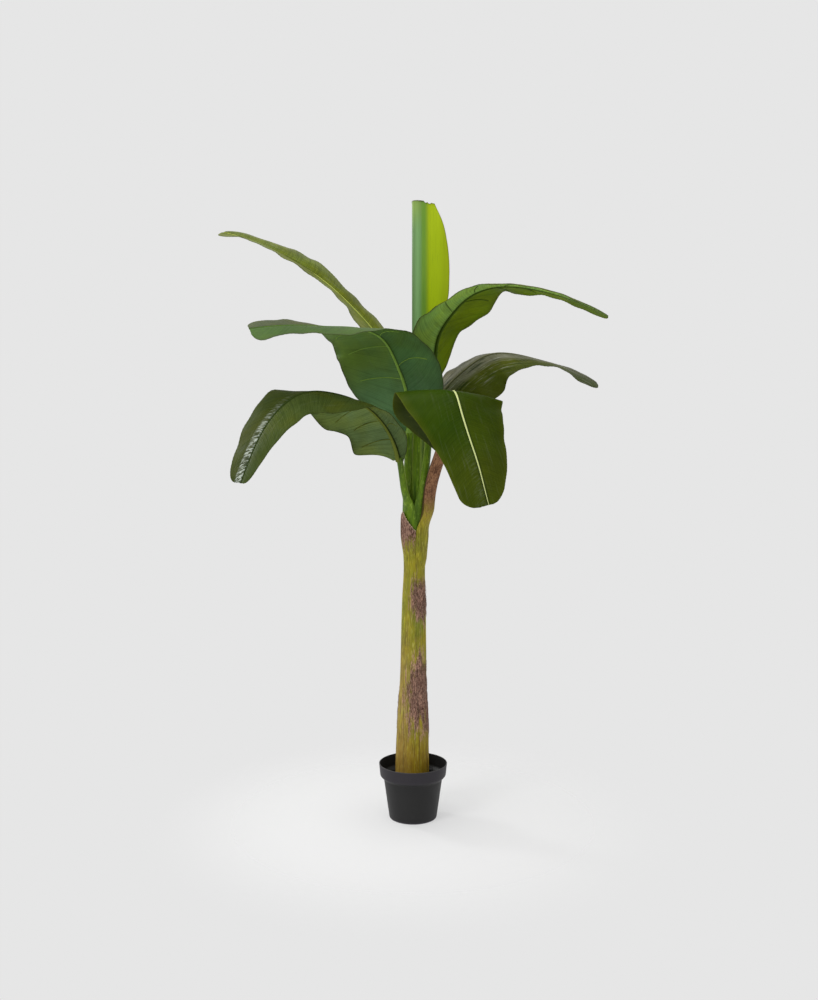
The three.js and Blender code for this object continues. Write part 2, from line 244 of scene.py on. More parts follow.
def hang_soft_box(name, place, target, width, height, watts):
    lamp = bpy.data.lights.new(name, "AREA")
    lamp.shape = "RECTANGLE"
    lamp.size = width
    lamp.size_y = height
    lamp.energy = watts
    holder = bpy.data.objects.new(name, lamp)
    holder.location = place
    holder.rotation_euler = (Vector(target) - Vector(place)).to_track_quat("-Z", "Y").to_euler()
    scene.collection.objects.link(holder)


def light_backdrop():
    """The camera sees an even grey, and the plant is lit by a room that is bright behind and above."""
    world = bpy.data.worlds.new("studio")
    world.use_nodes = True
    scene.world = world
    tree = world.node_tree
    tree.nodes.clear()
    _, rearward, upward = split(output_of(tree, "ShaderNodeTexCoord", at="Generated"))
    level = painted(
        mixed(rearward.step(-0.45, 0.75), grey(ROOM_FRONT), grey(ROOM_REAR)),
        (upward.step(-0.05, -0.60), grey(ROOM_FLOOR)),
        (upward.step(0.15, 0.95), grey(ROOM_TOP)),
    )
    room = add_node(tree, "ShaderNodeBackground", {0: level})
    plain = add_node(tree, "ShaderNodeBackground", {0: grey(BACKDROP_GREY)})
    seen = output_of(tree, "ShaderNodeLightPath", at="Is Camera Ray")
    shown = add_node(tree, "ShaderNodeMixShader", {0: seen, 1: room.outputs[0], 2: plain.outputs[0]})
    add_node(tree, "ShaderNodeOutputWorld", {0: shown.outputs[0]})


def place_camera():
    lens = bpy.data.cameras.new("camera")
    lens.sensor_fit = "VERTICAL"
    lens.sensor_height = CAMERA_SENSOR
    lens.lens = CAMERA_LENS
    camera = bpy.data.objects.new("camera", lens)
    camera.location = CAMERA_PLACE
    camera.rotation_euler = (CAMERA_TILT, 0, 0)
    scene.collection.objects.link(camera)
    scene.camera = camera


lay_floor()
light_backdrop()
for box in SOFT_BOXES:
    hang_soft_box(*box)
place_camera()


# Nursery pot
# Injection-moulded black polypropylene: a tapering body, a sloping step out to a plain collar
# and a rounded rim. The plant's foot is cast into it, so it is the whole plant's base.
POT_HEIGHT = 0.164
POT_RIM = 0.1005
POT_COLLAR = 0.036
POT_COLLAR_FLARE = 0.0035
POT_STEP = 0.009
POT_BODY_TOP = 0.0865
POT_FOOT = 0.070
POT_FLOOR_EDGE = 0.0682
POT_FLOOR_CORNER = 0.006
POT_WALL = 0.0028
POT_RECESS = 0.0015
POT_RING = 0.008
POT_SLIGHT = 0.001
POT_BEND = 0.004
POT_SMALL_BEND = 0.003
POT_RIM_BEND = 0.0011
POT_RING_BEND = 0.0006
POT_SIDES = 160
POT_SLOPE = 0.0833
CHARCOAL = (0.0220, 0.0172, 0.0258)
# Colours of the painted shade inside the pot and over its collar, and of the painted highlight on its rim.
POT_PAINTED_SHADE = (0.0018, 0.0017, 0.0017)
RIM_PAINTED_HIGHLIGHT = (0.065, 0.062, 0.06)
COLLAR_PAINTED_SHADE = 0.4


def rounded(corners, steps=4, support=1.25):
    """Rounds the corners of a profile given as radius, height and rounding, with a support point
    on each side that keeps the flats flat when the surface is shaded smooth."""
    spots = [np.array(corner[:2]) for corner in corners]
    line = [spots[0]]
    for before, here, after, corner in zip(spots, spots[1:], spots[2:], corners[1:]):
        reach = corner[2]
        back = (before - here) / np.linalg.norm(before - here)
        on = (after - here) / np.linalg.norm(after - here)
        line.append(here + back * reach * support)
        for share in np.linspace(0, 1, steps + 1):
            line.append(here + back * reach * (1 - share) ** 2 + on * reach * share ** 2)
        line.append(here + on * reach * support)
    return line + [spots[-1]]


def grid_faces(rows, columns, around=True):
    """Four-sided faces over rows of points; around joins the last column to the first."""
    faces = []
    for row in range(rows - 1):
        for column in range(columns if around else columns - 1):
            after = (column + 1) % columns
            low = row * columns
            faces.append((low + column, low + after, low + columns + after, low + columns + column))
    return faces


def turned_points(profile, sides):
    return [
        (radius * math.cos(turn), radius * math.sin(turn), height)
        for radius, height in profile for turn in round_turns(sides)
    ]


def tidy(piece):
    """Merges doubled points and turns all faces outwards."""
    mesh = bmesh.new()
    mesh.from_mesh(piece.data)
    bmesh.ops.remove_doubles(mesh, verts=mesh.verts, dist=1e-6)
    bmesh.ops.dissolve_degenerate(mesh, edges=mesh.edges, dist=1e-7)
    bmesh.ops.recalc_face_normals(mesh, faces=mesh.faces)
    mesh.to_mesh(piece.data)
    mesh.free()
    return piece


def pot_profile():
    """The pot's outline from the middle of its underside, out and up over the rim, and down to the
    middle of its floor. Each corner has its radius, height and rounding."""
    collar_foot = POT_HEIGHT - POT_COLLAR
    body_top = collar_foot - POT_STEP
    collar = POT_RIM - POT_COLLAR_FLARE
    return rounded([
        (0.0, POT_RECESS, 0),
        (POT_FOOT - POT_RING - POT_SLIGHT, POT_RECESS, POT_RING_BEND),
        (POT_FOOT - POT_RING, 0, POT_RING_BEND),
        (POT_FOOT, 0, POT_BEND),
        (POT_BODY_TOP, body_top, POT_SMALL_BEND),
        (collar, collar_foot, POT_BEND),
        (POT_RIM, POT_HEIGHT, POT_RIM_BEND),
        (POT_RIM - POT_WALL, POT_HEIGHT, POT_RIM_BEND),
        (collar - POT_WALL, collar_foot + POT_SLIGHT, POT_BEND),
        (POT_BODY_TOP - POT_WALL, body_top + POT_SLIGHT, POT_SMALL_BEND),
        (POT_FLOOR_EDGE, POT_FLOOR_CORNER, POT_SMALL_BEND),
        (0.0, POT_WALL + POT_SLIGHT, 0),
    ])


def pot_material():
    """Moulded plastic: fine grain, faint flow marks and dust, a painted highlight along the rim's top edge,
    and painted shade over the collar and inside.
    """
    material, tree, shader = new_material("black moulded plastic")
    place = object_place(tree)
    grain = speckle(tree, place, 900, 2)
    cloud = speckle(tree, place, 14, 4)
    x, y, height = split(place)
    out = (x * x + y * y).power(0.5) - (height - POT_HEIGHT) * POT_SLOPE
    inside = out.step(POT_RIM - POT_WALL / 2, POT_RIM - 0.0026)
    colour = painted(
        CHARCOAL,
        (cloud.step(0.35, 0.75) * 0.55, [level * 1.5 for level in CHARCOAL]),
        # Painted shade over the collar.
        (height.step(POT_HEIGHT - POT_COLLAR - 0.003, POT_HEIGHT - POT_COLLAR) * COLLAR_PAINTED_SHADE, POT_PAINTED_SHADE),
        # A painted highlight along the rim's top edge.
        (height.step(POT_HEIGHT - 0.003, POT_HEIGHT) * 0.6, RIM_PAINTED_HIGHLIGHT),
        # Painted shade inside the pot.
        (inside * height.step(0.004, 0.006), POT_PAINTED_SHADE),
    )
    cover(shader, colour, cloud * 0.16 + grain * 0.08 + 0.46, grain, 0.0001, 0.5)
    return material


def make_pot():
    profile = pot_profile()
    points = turned_points(profile, POT_SIDES)
    piece = tidy(make_piece("nursery_pot", points, grid_faces(len(profile), POT_SIDES), pot_material()))
    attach(piece, "root")
    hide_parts("pot")


make_pot()


# Filling
# Dark cement poured round the trunk's foot to a third below the rim. It has set rough, and small
# loose crumbs of it lie on top.
FILL_TOP = 0.109
FILL_EDGE = 0.0838
FILL_SKIRT = 0.020
FILL_ROUGHNESS = 0.0016
FILL_GRAIN = 60
FILL_RINGS = 40
FILL_SIDES = 120
CRUMB_SIZE = 0.0026
CRUMB_DENSITY = 11000.0
CRUMB_SMALLEST = (0.35, 0.35, 0.25)
CRUMB_LARGEST = (1.1, 0.9, 0.6)
CEMENT = (0.004, 0.0035, 0.0032)


def new_geometry_tree(name, **sizes):
    """A Geometry Nodes tree with a geometry input and output and one named input for each size."""
    tree = bpy.data.node_groups.new(name, "GeometryNodeTree")
    tree.interface.new_socket("Geometry", in_out="INPUT", socket_type="NodeSocketGeometry")
    kinds = {int: "NodeSocketInt", float: "NodeSocketFloat", bpy.types.Material: "NodeSocketMaterial"}
    for label, value in sizes.items():
        kind = next(known for known in kinds if isinstance(value, known))
        words = label.replace("_", " ").capitalize()
        socket = tree.interface.new_socket(words, in_out="INPUT", socket_type=kinds[kind])
        socket.default_value = value
    tree.interface.new_socket("Geometry", in_out="OUTPUT", socket_type="NodeSocketGeometry")
    entry = add_node(tree, "NodeGroupInput")
    return tree, {socket.name: Field(tree, socket) for socket in entry.outputs if socket.name}


def finish_tree(tree, shape, material):
    """Ends a tree: makes its instances real and gives them their material."""
    real = output_of(tree, "GeometryNodeRealizeInstances", {0: shape})
    painted = output_of(tree, "GeometryNodeSetMaterial", {0: real, 2: material})
    add_node(tree, "NodeGroupOutput", {0: painted})


def run_tree(piece, tree, **sizes):
    """Runs a tree on a piece with its own sizes and keeps the result as a plain mesh."""
    modifier = piece.modifiers.new(tree.name, "NODES")
    modifier.node_group = tree
    for socket in tree.interface.items_tree:
        key = socket.name.lower().replace(" ", "_")
        if socket.in_out == "INPUT" and key in sizes:
            modifier[socket.identifier] = sizes[key]
    bpy.context.view_layer.update()
    evaluated = piece.evaluated_get(bpy.context.evaluated_depsgraph_get())
    plain = bpy.data.meshes.new_from_object(evaluated)
    piece.modifiers.remove(modifier)
    piece.data = plain
    return piece


def cement_material():
    material, tree, shader = new_material("dark cement", {"Roughness": 0.92})
    coarse = speckle(tree, object_place(tree), 90, 5, 0.7)
    colour = mixed(coarse.step(0.4, 0.7), CEMENT, [level * 2.2 for level in CEMENT])
    cover(shader, colour, None, coarse, 0.001)
    return material


def scattered(tree, given, where):
    """Points spread over the faces where a condition holds, and the directions they face."""
    feeds = {0: given["Geometry"], 1: where, 4: given["Density"], 6: given["Seed"]}
    made = add_node(tree, "GeometryNodeDistributePointsOnFaces", feeds)
    return Field(tree, made.outputs[0]), Field(tree, made.outputs[1])


def three_chances(tree, lowest, highest, seed):
    """Three random numbers for each point."""
    feeds = {0: lowest, 1: highest, 8: seed}
    return output_of(tree, "FunctionNodeRandomValue", feeds, data_type="FLOAT_VECTOR")


def copies_on(tree, spots, shape, turn=(0, 0, 0), size=(1, 1, 1)):
    feeds = {0: spots, 2: shape, 5: turn, 6: size}
    return output_of(tree, "GeometryNodeInstanceOnPoints", feeds)


def joined(tree, *shapes):
    made = add_node(tree, "GeometryNodeJoinGeometry")
    for shape in shapes:
        tree.links.new(shape.socket, made.inputs[0])
    return Field(tree, made.outputs[0])


def crumbs_tree(material):
    """Small lumps of all shapes, spread over the faces that look up."""
    tree, given = new_geometry_tree(
        "loose crumbs", size=CRUMB_SIZE, density=CRUMB_DENSITY, seed=4, surface=material)
    facing_up = split(output_of(tree, "GeometryNodeInputNormal"))[2].math("GREATER_THAN", 0.8)
    spots, _ = scattered(tree, given, facing_up)
    crumb = output_of(tree, "GeometryNodeMeshIcoSphere", {0: given["Size"], 1: 1})
    turn = three_chances(tree, (0, 0, 0), (6.3, 6.3, 6.3), given["Seed"])
    size = three_chances(tree, CRUMB_SMALLEST, CRUMB_LARGEST, 9)
    crumbs = copies_on(tree, spots, crumb, turn, size)
    finish_tree(tree, joined(tree, crumbs, given["Geometry"]), given["Surface"])
    return tree


def make_filling():
    rings = [(FILL_EDGE * ring / FILL_RINGS, FILL_TOP - 0.001) for ring in range(FILL_RINGS + 1)]
    level = []
    for x, y, height in turned_points(rings, FILL_SIDES):
        lift = noise.fractal(Vector((x * FILL_GRAIN, y * FILL_GRAIN, 3)), 1.0, 2.0, 4)
        level.append((x, y, height + FILL_ROUGHNESS * lift))
    foot = FILL_TOP - FILL_SKIRT
    skirt = turned_points([(FILL_EDGE - 0.003, foot), (0, foot)], FILL_SIDES)
    piece = tidy(make_piece("cast_filling", level + skirt, grid_faces(FILL_RINGS + 3, FILL_SIDES)))
    cement = cement_material()
    run_tree(piece, crumbs_tree(cement), surface=cement)
    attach(piece, "root")
    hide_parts("pot_fill")


make_filling()


# Trunk
# Moulded foam plastic painted yellow-green over brown, with the edges of the old leaf sheaths
# standing proud along it and patches of dry purple-brown fibre. It is cast into the filling.
TRUNK_RADII = (0.0505, 0.0487, 0.0450, 0.0407, 0.0385, 0.0361, 0.0338, 0.0313, 0.0372)
TRUNK_TOP = 0.84
TRUNK_SUNK = 0.004
TRUNK_FOOT_X = -0.003
FORK_X = 0.005
TRUNK_SIDES = 300
TRUNK_ROWS = 260
# Rows that close the trunk's hollow top: each one's share of the radius, and its height over the top
TRUNK_MOUTH = ((0.93, 0.001), (0.88, -0.004), (0.80, -0.030), (0.02, -0.030))
SHEATH_EDGES = 7
FIRST_SHEATH_EDGE = -2.14
SHEATH_STEP = 0.0022
RELIEF_SINK = 0.0012
LUMP_HEIGHT = 0.0007
RIDGE_HEIGHT = 0.00022
FIBRE_HEIGHT = 0.0004
DRY_STEP = 0.0012
BARK_HEIGHT = 0.0013
LIP_FADES_OVER = 0.45
LIP_SHARPNESS = 0.03
GROOVE_AHEAD = 0.045
DRY_EDGE = (1.18, 0.43)
PRINT_OUTPUTS = ("Colour", "Roughness", "Height")
# Each dry patch: its turn and height on the trunk, how far it reaches round and up, how much it
# narrows towards its top, and how far its middle turns towards its top
DRY_PATCHES = (
    (math.radians(-54), 0.652, 1.12, 0.076, -0.10, -0.18),
    (math.radians(-58), 0.385, 1.34, 0.140, 0.30, -0.05),
    (math.radians(-10), 0.305, 0.44, 0.080, 0.0, 0.0),
    (math.radians(96), 0.560, 0.66, 0.120, 0.3, 0.2),
    (math.radians(158), 0.330, 0.50, 0.085, -0.3, 0.0),
)


def along(values, share):
    """Value at a share of the way along an evenly spaced list, on a smooth curve."""
    values = np.asarray(values, float)
    place = np.clip(share, 0, 1) * (len(values) - 1)
    i = np.minimum(np.floor(place).astype(int), len(values) - 2)
    f = place - i
    longer = np.concatenate([[2 * values[0] - values[1]], values, [2 * values[-1] - values[-2]]])
    before, a, b, after = (longer[i + k] for k in range(4))
    leave = (b - before) / 2
    arrive = (after - a) / 2
    return ((2 * f ** 3 - 3 * f ** 2 + 1) * a + (f ** 3 - 2 * f ** 2 + f) * leave
            + (3 * f ** 2 - 2 * f ** 3) * b + (f ** 3 - f ** 2) * arrive)


def trunk_middle(height):
    return TRUNK_FOOT_X + (FORK_X - TRUNK_FOOT_X) * (height - FILL_TOP) / (TRUNK_TOP - FILL_TOP)


def trunk_radius(height):
    return along(TRUNK_RADII, (height - FILL_TOP) / (TRUNK_TOP - FILL_TOP))


def waves(seed, turn, height, count, turns, rises):
    """Sum of seeded waves that close up round the trunk, about 1 high."""
    chance = np.random.default_rng(seed)
    total = np.zeros_like(turn)
    for _ in range(count):
        around = chance.integers(*turns)
        up = chance.uniform(*rises)
        total += np.sin(around * turn + up * height + chance.uniform(0, FULL_TURN))
    return total / math.sqrt(count)


def wrapped(angle):
    return (angle + math.pi) % FULL_TURN - math.pi


def ramp(value, low, high):
    """0 up to low, 1 from high on, and even in between; high may be the lower one."""
    return np.clip((value - low) / (high - low), 0, 1)


def sheath_relief(turn, height):
    """Old sheath edges run up the trunk at a slight slant; each is sharp on one side."""
    chance = np.random.default_rng(11)
    relief = np.zeros_like(turn)
    groove = np.zeros_like(turn)
    for edge in range(SHEATH_EDGES):
        start = FIRST_SHEATH_EDGE + edge * FULL_TURN / SHEATH_EDGES + chance.uniform(-0.2, 0.2) * (edge > 0)
        lean = chance.uniform(-0.5, 0.5) * (edge > 0)
        wander = 0.05 * np.sin(height * chance.uniform(9, 17) + chance.uniform(0, 6))
        past = wrapped(turn - start - lean * (height - FILL_TOP) - wander)
        strength = chance.uniform(0.5, 1) * (0.75 + 0.25 * np.sin(height * 7 + edge))
        lip = np.where(past > 0, np.exp(-past / LIP_FADES_OVER), np.exp(past / LIP_SHARPNESS))
        relief += strength * SHEATH_STEP * lip
        # groove marks painted shade: a narrow line at the foot of each edge's sharp side.
        groove = np.maximum(groove, strength * np.exp(-((past + GROOVE_AHEAD) / LIP_SHARPNESS) ** 2))
    return relief, groove


def dry_share(turn, height):
    """How dry and fibrous the trunk is at a place, from 0 to 1, with ragged patch edges."""
    ragged = 0.16 * waves(5, turn, height, 9, (3, 16), (-90, 90))
    ragged += 0.10 * waves(6, turn, height, 9, (14, 50), (-60, 60))
    share = np.zeros_like(turn)
    for at_turn, at_height, reach_round, reach_up, narrowing, lean in DRY_PATCHES:
        up = (height - at_height) / reach_up
        within = np.clip(up, -1, 1)
        round_ = wrapped(turn - at_turn - lean * within) / (reach_round * (1 - narrowing * within))
        distance = np.sqrt(round_ ** 2 + up ** 2) + ragged
        share = np.maximum(share, ramp(distance, *DRY_EDGE))
    return share


def trunk_skin(turn, height):
    """Radius, share of painted shade along the grooves, and dry share of the trunk's surface."""
    relief, groove = sheath_relief(turn, height)
    dry = dry_share(turn, height)
    relief += LUMP_HEIGHT * waves(21, turn, height, 8, (1, 6), (4, 22))
    relief += RIDGE_HEIGHT * waves(22, turn, height, 24, (18, 62), (-5, 5))
    relief += dry * (FIBRE_HEIGHT * waves(23, turn, height, 20, (16, 64), (-60, 60)) + DRY_STEP)
    return trunk_radius(height) - RELIEF_SINK + relief, groove, dry


def set_values(piece, **values):
    """Stores one number for each point of a piece, under the names that its material reads."""
    for name, numbers in values.items():
        stored = piece.data.attributes.new(name, "FLOAT", "POINT")
        stored.data.foreach_set("value", np.asarray(numbers, np.float32).ravel())


def named(tree, name):
    """The stored number of that name, in a material."""
    return output_of(tree, "ShaderNodeAttribute", at="Fac", attribute_name=name)


def drawn_out(tree, stretch, scale, detail, roughness=0.5, shift=0.0):
    """Noise that is drawn out along the height; a low stretch makes it long."""
    feeds = {0: object_place(tree), 1: (1.0, 1.0, stretch), 2: (shift, 0.0, 0.0)}
    place = output_of(tree, "ShaderNodeVectorMath", feeds, operation="MULTIPLY_ADD")
    return speckle(tree, place, scale, detail, roughness)


def new_group(name, colours, numbers, outputs):
    """A shader group that takes the named colours and numbers. Its output Colour is a colour and its
    other outputs are numbers."""
    group = bpy.data.node_groups.new(name, "ShaderNodeTree")
    for way, labels in (("INPUT", (*colours, *numbers)), ("OUTPUT", outputs)):
        for label in labels:
            kind = "NodeSocketColor" if label in (*colours, "Colour") else "NodeSocketFloat"
            group.interface.new_socket(label, in_out=way, socket_type=kind)
    entry = add_node(group, "NodeGroupInput")
    return group, {label: Field(group, entry.outputs[label]) for label in (*colours, *numbers)}


def printed_material(name, group, values, height, strength, settings):
    """A material whose colour, roughness and relief come from a group with its own values."""
    material, tree, shader = new_material(name, settings)
    made = add_node(tree, "ShaderNodeGroup", values, node_tree=group)
    colour, roughness, relief = (Field(tree, made.outputs[label]) for label in PRINT_OUTPUTS)
    cover(shader, colour, roughness, relief, height, strength)
    return material, shader, made


def bark_print():
    """Yellow-green paint with brown streaks, painted light over the top, painted shade along the grooves
    and down the outer stalks' shaded side, and purple-brown fibre where it is dry.
    """
    labels = ("Dark fibre", "Pale fibre")
    group, given = new_group("bark print", labels, ("Roughened",), PRINT_OUTPUTS)
    x, _, z = split(object_place(group))
    mottle = speckle(group, object_place(group), 16, 4, 0.6)
    broad = drawn_out(group, 0.16, 34, 3)
    broader = drawn_out(group, 0.40, 60, 2)
    streak = drawn_out(group, 0.07, 240, 4, 0.66)
    gold = drawn_out(group, 0.06, 170, 3, 0.6, shift=3.0)
    knots = drawn_out(group, 0.34, 330, 3, 0.7)
    thread = drawn_out(group, 0.09, 520, 2, 0.6)
    paint = painted(
        mixed(mottle.step(0.38, 0.66), (0.30, 0.27, 0.020), (0.44, 0.35, 0.014)),
        (broad.step(0.42, 0.66) * 0.7, (0.17, 0.22, 0.018)),
        (z.step(0.36, FILL_TOP) * 0.75, (0.32, 0.185, 0.010)),
        (z.step(0.55, 0.86) * 0.5, (0.30, 0.29, 0.020)),
        (x.step(0.004, -0.030) * z.step(0.62, 0.45) * 0.55, (0.34, 0.21, 0.075)),
        # Painted light: lighter towards the top, where the crown shades the fork.
        (z.step(0.83, 0.91) * 0.6, (0.60, 0.50, 0.030)),
        (streak.step(0.48, 0.66) * 0.68, (0.13, 0.085, 0.018)),
        (gold.step(0.54, 0.70) * 0.65, (0.58, 0.52, 0.030)),
        (knots.step(0.54, 0.74) * 0.35, (0.15, 0.085, 0.020)),
        (thread.step(0.56, 0.70) * 0.5, (0.66, 0.60, 0.16)),
        (thread.step(0.44, 0.32) * 0.42, (0.07, 0.045, 0.012)),
        (z.step(0.30, 0.17) * 0.35, (0.30, 0.165, 0.004)),
    )
    pale = (knots * 0.75 + broader * 0.25).step(0.40, 0.59)
    fibre = mixed(pale, given["Dark fibre"], given["Pale fibre"])
    fibre = mixed(named(group, "rim"), fibre, (0.62, 0.46, 0.30))
    ragged = ((knots - 0.5) * 1.1 + (broader - 0.5) * 0.5) * given["Roughened"]
    worn = (named(group, "dry") + ragged).step(0.15, 0.95)
    # Painted shade where groove is high: along the grooves by the sheath edges and down the outer stalks'
    # shaded side.
    colour = painted(paint, (worn, fibre), (named(group, "groove") * 0.85, (0.045, 0.030, 0.010)))
    roughness = worn * 0.28 + streak * 0.12 + 0.50
    height = streak * 0.5 + knots * (worn * 0.9 + 0.1)
    add_node(group, "NodeGroupOutput", {0: colour, 1: roughness, 2: height})
    return group


BARK_PRINT = bark_print()


def bark_material(name, roughened, dark_fibre, pale_fibre):
    values = {"Roughened": roughened, "Dark fibre": opaque(dark_fibre), "Pale fibre": opaque(pale_fibre)}
    return printed_material(name, BARK_PRINT, values, BARK_HEIGHT, 1.0, {"Specular IOR Level": 0.2})[0]


BARK = bark_material("trunk bark", 1.0, (0.075, 0.024, 0.020), (0.68, 0.40, 0.29))


def capped_faces(rows, sides):
    """Faces of a tube of rows of points, with one face over each end."""
    last = (rows - 1) * sides
    return grid_faces(rows, sides) + [tuple(reversed(range(sides))), tuple(range(last, last + sides))]


def make_trunk():
    turns = np.linspace(-math.pi, math.pi, TRUNK_SIDES, endpoint=False)
    heights = np.linspace(FILL_TOP - TRUNK_SUNK, TRUNK_TOP, TRUNK_ROWS)
    turn, height = np.meshgrid(turns, heights)
    radius, groove, dry = trunk_skin(turn, height)
    mouth = len(TRUNK_MOUTH)
    longer = ((1, mouth), (0, 0))
    turn, rise, radius, groove, dry = (
        np.pad(values, longer, "edge") for values in (turn, height, radius, groove, dry))
    for row, (share, over) in enumerate(TRUNK_MOUTH, len(rise) - mouth):
        radius[row] *= share
        rise[row] += over
    radius[0] *= TRUNK_MOUTH[-1][0]
    points = np.stack([trunk_middle(rise) + radius * np.cos(turn), radius * np.sin(turn), rise], -1)
    piece = make_piece("trunk_bark", points.reshape(-1, 3), capped_faces(len(points), TRUNK_SIDES), BARK)
    set_values(piece, groove=groove, dry=dry)
    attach(piece, "root")
    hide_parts("trunk")
    return piece


trunk = make_trunk()


# Dry fibre
# Loose strands of brown fibre stand off the trunk's dry patches. They are moulded and glued on there,
# and lie along the trunk at a slight slant.
STRAND_LENGTH = 0.013
STRAND_RADIUS = 0.00022
STRAND_SIDES = 3
STRAND_POINTS = 6
STRAND_LIFT = 0.0016
STRAND_SLANT = 0.45
STRANDS_EACH_SQUARE_METRE = 90000.0
DRY_ENOUGH = 0.6


def moved(tree, shape, place):
    return output_of(tree, "GeometryNodeSetPosition", {0: shape, 2: place})


def position(tree):
    return output_of(tree, "GeometryNodeInputPosition")


def attribute(tree, name, kind="FLOAT"):
    """The stored value of that name, in a geometry tree."""
    return output_of(tree, "GeometryNodeInputNamedAttribute", {0: name}, data_type=kind)


def point_line(tree, count, offset):
    return output_of(tree, "GeometryNodeMeshLine", {0: count, 3: offset})


def as_curve(tree, shape):
    return output_of(tree, "GeometryNodeMeshToCurve", {0: shape})


def swept(tree, curve, radius, sides):
    """A round rod along a curve, with closed ends."""
    circle = output_of(tree, "GeometryNodeCurvePrimitiveCircle", {0: sides, 4: 1.0})
    return output_of(tree, "GeometryNodeCurveToMesh", {0: curve, 1: circle, 2: radius, 3: True})


def strand_material():
    material, tree, shader = new_material("dry fibre", {"Roughness": 0.8, "Specular IOR Level": 0.2})
    shade = speckle(tree, object_place(tree), 400, 2)
    feed(shader, "Base Color", mixed(shade.step(0.35, 0.65), (0.12, 0.050, 0.038), (0.50, 0.33, 0.25)))
    return material


def strands_tree(material):
    """Bent strands spread over the points whose dry value is high, turned to stand on the surface."""
    tree, given = new_geometry_tree(
        "dry strands", density=STRANDS_EACH_SQUARE_METRE, length=STRAND_LENGTH, radius=STRAND_RADIUS,
        lift=STRAND_LIFT, slant=STRAND_SLANT, seed=3, fibre=material)
    spots, outward = scattered(tree, given, attribute(tree, "dry").math("GREATER_THAN", DRY_ENOUGH))
    outward_x, outward_y, _ = split(outward)
    turn = outward_y.math("ARCTAN2", outward_x)
    sideways, tilt, size = split(three_chances(tree, (-1, -0.3, 0.5), (1, 0.3, 1.5), given["Seed"]))
    line = point_line(tree, STRAND_POINTS, (0.0, 0.0, 1 / (STRAND_POINTS - 1)))
    height = split(position(tree))[2] - 0.5
    bulge = (height * math.pi).cos() * given["Lift"]
    bent = moved(tree, line, joined_vector(tree, bulge, 0.0, height * given["Length"]))
    strand = swept(tree, as_curve(tree, bent), given["Radius"], STRAND_SIDES)
    rotation = joined_vector(tree, sideways * given["Slant"], tilt * given["Slant"], turn)
    finish_tree(tree, copies_on(tree, spots, strand, rotation, size), given["Fibre"])
    return tree


def make_strands():
    piece = bpy.data.objects.new("dry_strands", trunk.data.copy())
    scene.collection.objects.link(piece)
    material = strand_material()
    run_tree(piece, strands_tree(material), fibre=material)
    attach(piece, "root")


make_strands()


# Torn sheath
# A dead leaf sheath still wraps the left of the fork: thin purple-brown fibre, pale along its torn
# upper edge, that runs up to a point. It is glued on, and its foot is painted over like the trunk.
SHEATH_FOOT = 0.772
SHEATH_PEAK = 0.913
SHEATH_NOTCH = 0.858
SHEATH_BACK = 0.868
SHEATH_FROM = math.radians(138)
SHEATH_POINT = math.radians(207)
SHEATH_TO = math.radians(273)
SHEATH_WALL = 0.0018
SHEATH_COLUMNS = 130
SHEATH_ROWS = 90
SHEATH_PROUD = 0.0026
SHEATH_BELLY = 0.003
SHEATH_BELLY_SPAN = (0.80, 0.925)
SHEATH_DRY_SPAN = (0.792, 0.857)
SHEATH_FIBRE = 0.0003
SHEATH_TEARS = 0.0012
SHEATH_RIM = 0.0022
SHEATH_BARK = bark_material("torn sheath", 1.0, (0.075, 0.028, 0.022), (0.40, 0.235, 0.17))


def sheath_top(turn):
    """Height of the torn upper edge, with small tears."""
    corners = (SHEATH_FROM, SHEATH_POINT, SHEATH_TO)
    heights = np.interp(turn, corners, (SHEATH_BACK, SHEATH_PEAK, SHEATH_NOTCH))
    return heights + SHEATH_TEARS * waves(31, turn, turn * 0, 10, (12, 60), (0, 1))


def make_torn_sheath():
    turns = np.linspace(SHEATH_FROM, SHEATH_TO, SHEATH_COLUMNS)
    turn, share = np.meshgrid(turns, np.linspace(0, 1, SHEATH_ROWS))
    top = sheath_top(turn)
    height = SHEATH_FOOT + (top - SHEATH_FOOT) * share
    proud = ramp(height, SHEATH_FOOT, SHEATH_FOOT + 0.03) * SHEATH_PROUD - RELIEF_SINK
    belly = SHEATH_BELLY * np.sin(ramp(height, *SHEATH_BELLY_SPAN) * math.pi)
    fibre = SHEATH_FIBRE * waves(32, turn, height, 20, (20, 70), (-60, 60))
    on_trunk = np.minimum(height, TRUNK_TOP)
    radius = trunk_radius(on_trunk) + proud + belly + fibre
    points = np.stack([trunk_middle(on_trunk) + radius * np.cos(turn), radius * np.sin(turn), height], -1)
    faces = grid_faces(SHEATH_ROWS, SHEATH_COLUMNS, around=False)
    piece = make_piece("torn_sheath", points.reshape(-1, 3), faces, SHEATH_BARK)
    ragged = 0.008 * waves(33, turn, height, 12, (5, 40), (-60, 60))
    centred = 1 - np.abs(wrapped(turn - SHEATH_POINT)) / 1.3
    set_values(
        piece,
        dry=ramp(height + 0.015 * centred + ragged, *SHEATH_DRY_SPAN),
        groove=np.zeros_like(turn),
        rim=np.exp(-(top - height) / SHEATH_RIM),
    )
    wall = piece.modifiers.new("wall", "SOLIDIFY")
    wall.thickness = SHEATH_WALL
    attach(piece, "root")
    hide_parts("sheath_left")


make_torn_sheath()


